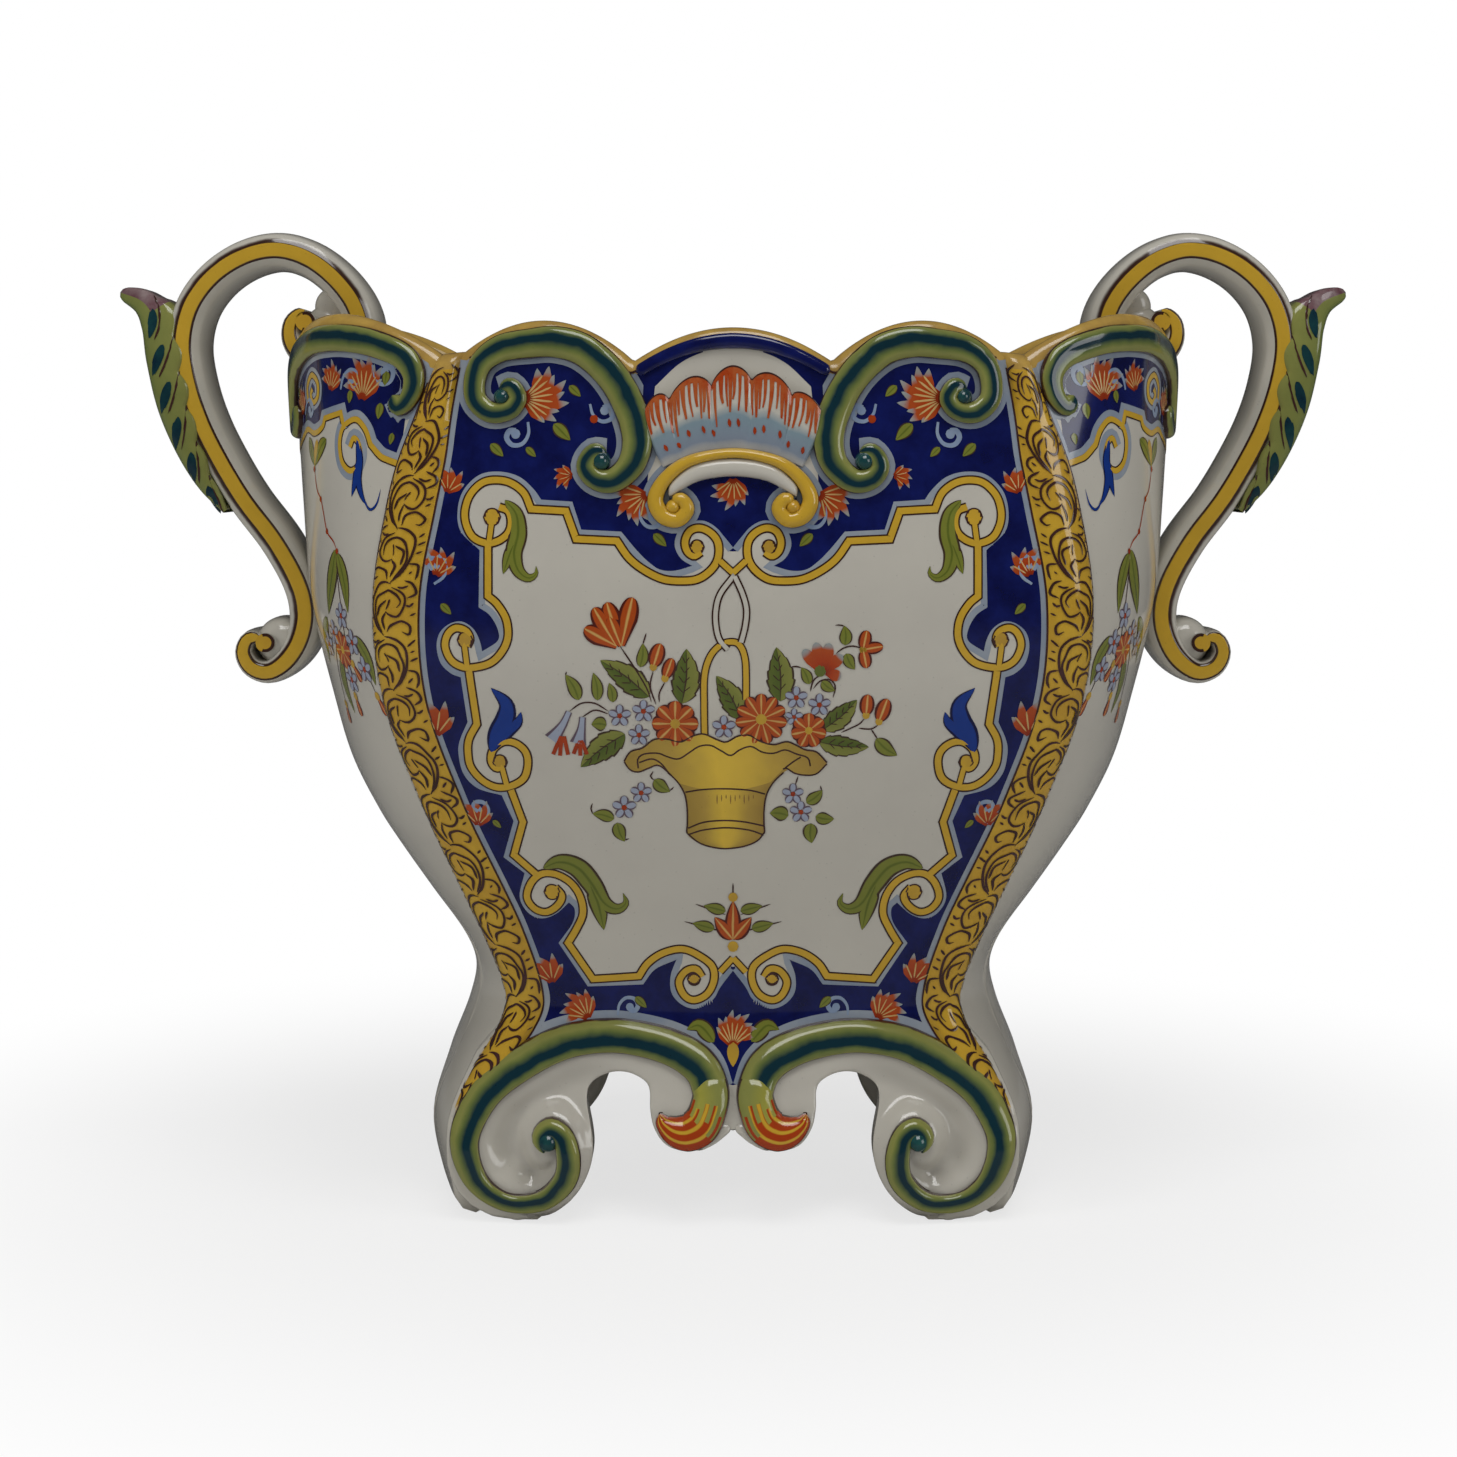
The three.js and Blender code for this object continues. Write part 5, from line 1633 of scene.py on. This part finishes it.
FOLIAGE_FOOT = 29.0
BAND_STEP = 14.2
BAND_TURNS = 14
BAND_STROKES = [
    (0.34, [(-0.10, 1.0), (0.25, 0.98), (0.60, 0.62), (0.68, 0.15), (0.52, -0.40), (0.10, -1.0)]),
    (0.30, [(0.20, -0.82), (0.48, -0.20), (0.44, 0.30), (0.20, 0.64), (-0.15, 0.68), (-0.42, 0.36),
            (-0.36, 0.04)]),
    (0.30, [(-0.14, 0.86), (-0.55, 0.56), (-0.62, 0.10), (-0.32, -0.24), (0.02, -0.08)]),
    (0.28, [(0.02, 0.36), (0.30, 0.12), (0.34, -0.30)]), (0.30, [(0.0, -0.10), (0.16, -0.38), (0.08, -0.76)]),
    (0.26, [(-0.14, 0.40), (-0.04, 0.18), (0.04, 0.02)]),
    (0.30, [(-0.50, 1.12), (-0.84, 0.94), (-0.92, 0.64), (-0.66, 0.46)]),
    (0.28, [(-0.72, 0.86), (-0.52, 0.78), (-0.32, 0.84)]),
    (0.28, [(-0.92, 0.24), (-0.80, 0.12), (-0.68, 0.14)]),
    (0.30, [(-0.10, -0.86), (-0.20, -0.54), (-0.52, -0.42), (-0.80, -0.60), (-0.74, -0.88), (-0.52, -0.80)]),
    (0.24, [(-0.94, -0.10), (-0.78, -0.20)]), (0.26, [(0.94, 0.86), (0.74, 0.66)]),
    (0.26, [(0.96, 0.50), (0.76, 0.38)]), (0.26, [(0.97, 0.18), (0.78, 0.10)]),
    (0.28, [(0.60, -0.28), (0.88, -0.36), (0.95, -0.66), (0.84, -0.92)]),
    (0.26, [(0.78, -0.54), (0.62, -0.70)]),
]


def band_unit(mesh, z, hand, place):
    """One turn of the running foliage, whose strokes are given in half widths of the band and half steps."""
    wide = band_width(z) * 0.97
    grow = min(1.0, wide / 5.5)
    for half, points in BAND_STROKES:
        line = []
        for x, y in points:
            waver = 0.035 * math.sin(3.7 * z + 5 * x + 9 * y)
            line.append((hand * (x + waver) * wide, z + (y + waver) * BAND_STEP / 2))
        stroke(mesh, line, half * grow, place, LINE_LIFT, LINE_BROWN, brush_width, 0.5)


def band_foliage():
    mesh = new_mesh()

    def place(x, z, out):
        width = band_width(z)
        return band_at(max(-0.99, min(0.99, x / width)), z, out)

    for k in range(BAND_TURNS):
        band_unit(mesh, FOLIAGE_FOOT + BAND_STEP * (k + 0.5), 1 if k % 2 else -1, place)
    face_outwards(mesh, (1, -1, 0))
    piece = finished("band_painting_front_right", mesh, paints, weld=False)
    on_every_corner(piece, "band_painting")


band_foliage()

# Ends: cobalt under each arch, a gold line with a curl, and a hanging spray, by place along the panel, height

END_GOLD_LINE = [
    (-76.5, 201.6), (-70, 203.4), (-67, 204.5), (-63, 207.5, SHARP), (-60.6, 211.5), (-56.9, 214.3),
    (-53.3, 213.6), (-50.6, 211.6), (-49.7, 207.5), (-51.4, 202.8), (-55.2, 200.4), (-58.4, 201.5),
    (-59.5, 204.8), (-58, 208.2), (-55.9, 209.2), (-54.6, 206.8),
]
END_GOLD_INNER = [
    (-51.6, 211.6), (-49.8, 216.2, SHARP), (-41.4, 214.7, SHARP), (-39.9, 212.3), (-34.7, 210.7),
    (-29, 211.8), (-24, 209.8), (-17, 207.4), (-8, 206), (0, 205.6),
]
END_GOLD_CURL = [
    (-30, 219.2), (-29.6, 223.6), (-33.2, 226.8), (-37, 224.6), (-37, 220.8), (-34, 219.2), (-32.2, 221.4),
    (-33.6, 223),
]
END_COBALT_FOOT = smooth([
    (-77, 203), (-70, 203.4), (-67, 204.5), (-63, 207.5), (-60.6, 211.5), (-56.9, 214.3), (-51.6, 211.6),
    (-49.8, 216.2), (-41.4, 214.7), (-34.7, 210.7), (-29, 211.8), (-24, 209.8), (-17, 207.4), (-12, 206.6),
])
# Fans by place, height, direction, length and petals, curls by place, height, direction, size and hand
END_FANS = [(-58.4, 219.8, -8, 12.5, 9), (-44.6, 222.5, -16, 8.5, 7), (-24, 216, 10, 9, 7)]
END_CURLS = [(-49.4, 222.5, -10, 8, -1), (-61.5, 229, 190, 8, 1), (-27, 216, -20, 7, -1)]
END_DROPS = [(-66.7, 225.3, 4), (-65.4, 216.5, 4.4), (-53.8, 220.5, 3.6), (-70.5, 209, 3.2), (-20, 222, 3)]
# Ribbon of two tails with its thin curl, calyx, and leaves of the spray: points, half width and enamel
END_LEAVES = [
    ([(-57.5, 208.9), (-59.2, 203.5), (-59.4, 198.1), (-61.6, 193.5), (-64.2, 191)], 1.6, FLAME),
    ([(-62.6, 192.2), (-65.4, 190), (-67.8, 191.6), (-68.8, 195.6)], 0.4, FLAME),
    ([(-59, 204), (-58.4, 198.5), (-57, 193.4)], 1.6, FLAME),
    ([(-30.5, 209.6), (-32, 206), (-34.5, 201.6)], 2.0, GREEN),
    ([(-42.6, 209), (-39, 206.6), (-34.8, 201.6)], 2.2, GREEN),
    ([(-36.6, 209), (-35.6, 205), (-34.6, 201)], 1.5, YELLOW),
    ([(-49.9, 179), (-47, 171), (-42, 161)], 3.4, GREEN), ([(-51, 178), (-55, 170), (-56, 162)], 2.6, GREEN),
    ([(-58, 156), (-63, 150), (-64, 143)], 2.4, GREEN), ([(-40, 160), (-34, 154), (-32, 147)], 2.6, GREEN),
    ([(-46, 150), (-43, 142), (-44, 134)], 2.2, GREEN),
]
END_CORD = [(-34.4, 200.7), (-36.3, 195.2), (-39.2, 192.5), (-41, 189.1), (-43.8, 183.7), (-48.1, 181.1),
            (-50.5, 178.5)]
END_STEMS = [[(-50, 178), (-52, 160), (-49, 139)], [(-51, 160), (-58, 154), (-63, 140)],
             [(-50, 158), (-42, 150), (-38, 136)]]
END_FLORETS = [(-51.5, 161), (-56, 154), (-44, 156), (-37.3, 152.5), (-60, 147), (-50, 143.6)]
END_BUDS = [(-49, 139, 180), (-63, 140, 200), (-38, 136, 165), (-53.4, 148, 215)]


def end_painting():
    """Painting of the front half of the right end, repeated on the other three."""
    mesh = new_mesh()

    def under_rim(along, z, out):
        return end_at(along, min(z, end_rim(along / end_length(RIM_VALLEY)) - LIP - 0.4), out)

    def ground(u, v):
        along = mix(-76, -14.5, u)
        low = END_COBALT_FOOT(round(along, 2))
        z = mix(low, 229.0 + 6 * math.sin(math.pi * u), v)
        return end_at(max(along, end_edge(low, band_width(low) - 0.4)), z, MARGIN_LIFT - 0.03)

    patch(mesh, 90, 14, ground, slot=COBALT_FILL)
    half = half_width(END_SCROLL)
    stroke(mesh, [row[:2] for row in END_SCROLL], 1.0, under_rim, MARGIN_LIFT, PALE,
           lambda share: half(round(share, 3)) + SCROLL_MARGIN)
    for line in (END_GOLD_LINE, END_GOLD_INNER):
        ribbon(mesh, line, 2.5, 0.6, end_at, MARGIN_LIFT + 0.02, PALE, full_width, 0.6)
        stroke(mesh, line, 1.15, end_at, GOLD_LIFT, GOLD_STRIP, full_width, 0.6)
    stroke(mesh, END_GOLD_CURL, 2.2, end_at, MARGIN_LIFT + 0.02, PALE, full_width, 0.6)
    stroke(mesh, END_GOLD_CURL, 1.1, end_at, GOLD_LIFT, GOLD_STRIP, full_width, 0.6)
    edge = [(end_edge(z, band_width(z) + 0.7), z) for z in range(204, 230, 4)]
    stroke(mesh, edge, 0.8, end_at, MARGIN_LIFT + 0.01, PALE, full_width)
    line = [(end_edge(z, band_width(z)), z) for z in range(26, 230, 6)]
    stroke(mesh, line, 0.30, end_at, DETAIL_LIFT, LINE_BROWN, full_width)
    for x, z, *rest in END_FANS:
        fan(mesh, (x, z), *rest, end_at)
    for x, z, *rest in END_CURLS:
        curl(mesh, (x, z), *rest, end_at)
    for x, z, size in END_DROPS:
        drop = [(x, z + size / 2), (x + 0.5, z - size / 2)]
        stroke(mesh, drop, size * 0.36, end_at, DETAIL_LIFT, GREEN, leaf_width, 0.5)
    end_spray(mesh, end_at)
    face_outwards(mesh, (1, -0.6, 0))
    piece = finished("end_painting_front_right", mesh, paints, weld=False)
    on_every_corner(piece, "end_painting")


def end_spray(mesh, place):
    """Blue ribbon, green calyx and the spray that hangs from it by a knotted cord."""
    for points, half, paint in END_LEAVES:
        stroke(mesh, points, half, place, FILL_LIFT, paint, leaf_width)
    stroke(mesh, END_CORD, 0.26, place, FILL_LIFT, ORANGE)
    for point in END_CORD[::2]:
        dot(mesh, point, 0.8, place, DETAIL_LIFT, ORANGE)
    for points in END_STEMS:
        stem(mesh, points, place)
    for centre in END_FLORETS:
        daisy(mesh, centre, 3.7, 5, BLUE_PETAL, ORANGE, place)
    daisy(mesh, (-48.6, 151.6), 5.2, 8, PETAL, YELLOW, place)
    for x, z, angle in END_BUDS:
        bud(mesh, (x, z), angle, 5.5, place)


end_painting()

# Handles: brown outlines and ink dashes on the lobes of each leaf

LOBE_STROKES = [
    ([(0.5, -0.84), (-3.5, -0.55), (-8, -0.1), (-11, 0.3)], 0.30, FILL_LIFT, LINE_BROWN, brush_width),
    ([(-2, -0.20), (-5.5, 0.16), (-10.5, 0.66)], 1.35, FILL_LIFT + 0.01, INK, leaf_width),
]


def handle_painting():
    """Strokes on both faces of each handle leaf."""
    mesh = new_mesh()
    for face in (-1, 1):
        def on_leaf(s, across, out):
            share = min(1.0, max(0.0, s / LEAF_LENGTH))
            centre, along = leaf_line[round(share * 180)]
            thick = leaf_thick(round(share, 4))
            part = min(0.97, abs(across) / thick)
            proud = leaf_deep(round(share, 4)) * (1 - part ** (2 / LEAF_SQUARE)) ** (LEAF_SQUARE / 2)
            return centre.x + along.y * across, face * (proud + out), centre.y - along.x * across

        for k in range(LEAF_LOBES):
            s = LEAF_LENGTH * 0.86 * (k + 1) / LEAF_LOBES
            thick = leaf_thick(round(s / LEAF_LENGTH, 4))
            for points, half, lift, paint, shape in LOBE_STROKES:
                line = [(s + along, across * thick) for along, across in points]
                stroke(mesh, line, half, on_leaf, lift, paint, shape, 0.5)
    for face in list(mesh.faces):
        if face.normal.y * face.calc_center_median().y < 0:
            face.normal_flip()
    piece = finished("handle_painting_right", mesh, paints, weld=False)
    copy_piece(piece, "handle_painting_left", MIRROR)


handle_painting()

# Stage, light and camera

def floor_material():
    """Pale ground that keeps the object's shadow and is white to the camera further away."""
    material = bpy.data.materials.new("studio_floor")
    material.use_nodes = True
    tree = material.node_tree
    shader = tree.nodes["Principled BSDF"]
    feed(shader, {"Base Color": (0.88, 0.88, 0.88, 1), "Roughness": 0.9})
    place = shader_node(tree, "TexCoord")
    distance = shader_node(tree, "VectorMath", {0: place.outputs["Object"]}, operation="LENGTH")
    fade = shader_node(tree, "MapRange", {
        "Value": distance.outputs["Value"], "From Min": 0.10, "From Max": 0.34, "To Min": 0.72,
    }, interpolation_type="SMOOTHSTEP")
    rays = shader_node(tree, "LightPath").outputs
    seen_white = shader_node(tree, "Math", {
        0: fade.outputs["Result"], 1: rays["Is Camera Ray"]}, operation="MULTIPLY")
    glow = shader_node(tree, "Emission")
    mirrored = shader_node(tree, "BsdfDiffuse", {"Color": (0.22, 0.22, 0.22, 1)})
    ground = shader_node(tree, "MixShader", {
        "Fac": rays["Is Glossy Ray"], 1: shader.outputs["BSDF"], 2: mirrored.outputs["BSDF"]})
    mixer = shader_node(tree, "MixShader", {
        "Fac": seen_white.outputs[0], 1: ground.outputs["Shader"], 2: glow.outputs["Emission"]})
    feed(tree.nodes["Material Output"], {"Surface": mixer.outputs["Shader"]})
    return material


def build_stage():
    mesh = bmesh.new()
    bmesh.ops.create_grid(mesh, x_segments=1, y_segments=1, size=4)
    data = bpy.data.meshes.new("floor")
    mesh.to_mesh(data)
    mesh.free()
    floor = bpy.data.objects.new("floor", data)
    bpy.context.scene.collection.objects.link(floor)
    data.materials.append(floor_material())


def area_light(name, place, aim, size, power, mirrored=True):
    data = bpy.data.lights.new(name, "AREA")
    data.shape = "RECTANGLE"
    data.size, data.size_y = size
    data.energy = power
    lamp = bpy.data.objects.new(name, data)
    bpy.context.scene.collection.objects.link(lamp)
    lamp.visible_glossy = mirrored
    lamp.location = place
    lamp.rotation_euler = (Vector(aim) - Vector(place)).to_track_quat("-Z", "Y").to_euler()


def build_light():
    area_light("overhead_softbox", (0.1, -0.5, 1.5), (0, 0, 0.12), (0.9, 0.7), 8)
    area_light("left_window", (-1.3, -0.9, 0.8), (0, 0, 0.13), (0.5, 0.9), 6, mirrored=False)
    area_light("right_fill", (1.4, -0.8, 0.7), (0, 0, 0.13), (0.7, 0.9), 4.5)
    world = bpy.data.worlds.new("studio_air")
    bpy.context.scene.world = world
    world.use_nodes = True
    tree = world.node_tree
    rays = shader_node(tree, "LightPath").outputs
    strength = shader_node(tree, "Mix", {
        "Factor": rays["Is Camera Ray"], "A": 0.17, "B": 1.0}, data_type="FLOAT")
    reflected = shader_node(tree, "Mix", {
        "Factor": rays["Is Glossy Ray"], "A": strength.outputs["Result"], "B": 0.035}, data_type="FLOAT")
    feed(tree.nodes["Background"], {"Strength": reflected.outputs["Result"], "Color": (1, 1, 1, 1)})


def build_camera():
    data = bpy.data.cameras.new("photo_camera")
    camera = bpy.data.objects.new("photo_camera", data)
    bpy.context.scene.collection.objects.link(camera)
    distance = FRONT_PLANE_Y - CAMERA_Y
    data.sensor_width = SENSOR
    data.lens = SENSOR * distance / (PHOTO_PIXELS * PIXEL_MM)
    data.shift_x = (PHOTO_PIXELS / 2 - CENTRE_COLUMN) / PHOTO_PIXELS
    data.shift_y = (EYE_ROW - PHOTO_PIXELS / 2) / PHOTO_PIXELS
    data.clip_start = 0.05
    camera.location = (0, CAMERA_Y * MM, EYE_HEIGHT * MM)
    camera.rotation_euler = (math.pi / 2, 0, 0)
    bpy.context.scene.camera = camera


build_stage()
build_light()
build_camera()
bpy.context.scene.view_settings.view_transform = "Standard"
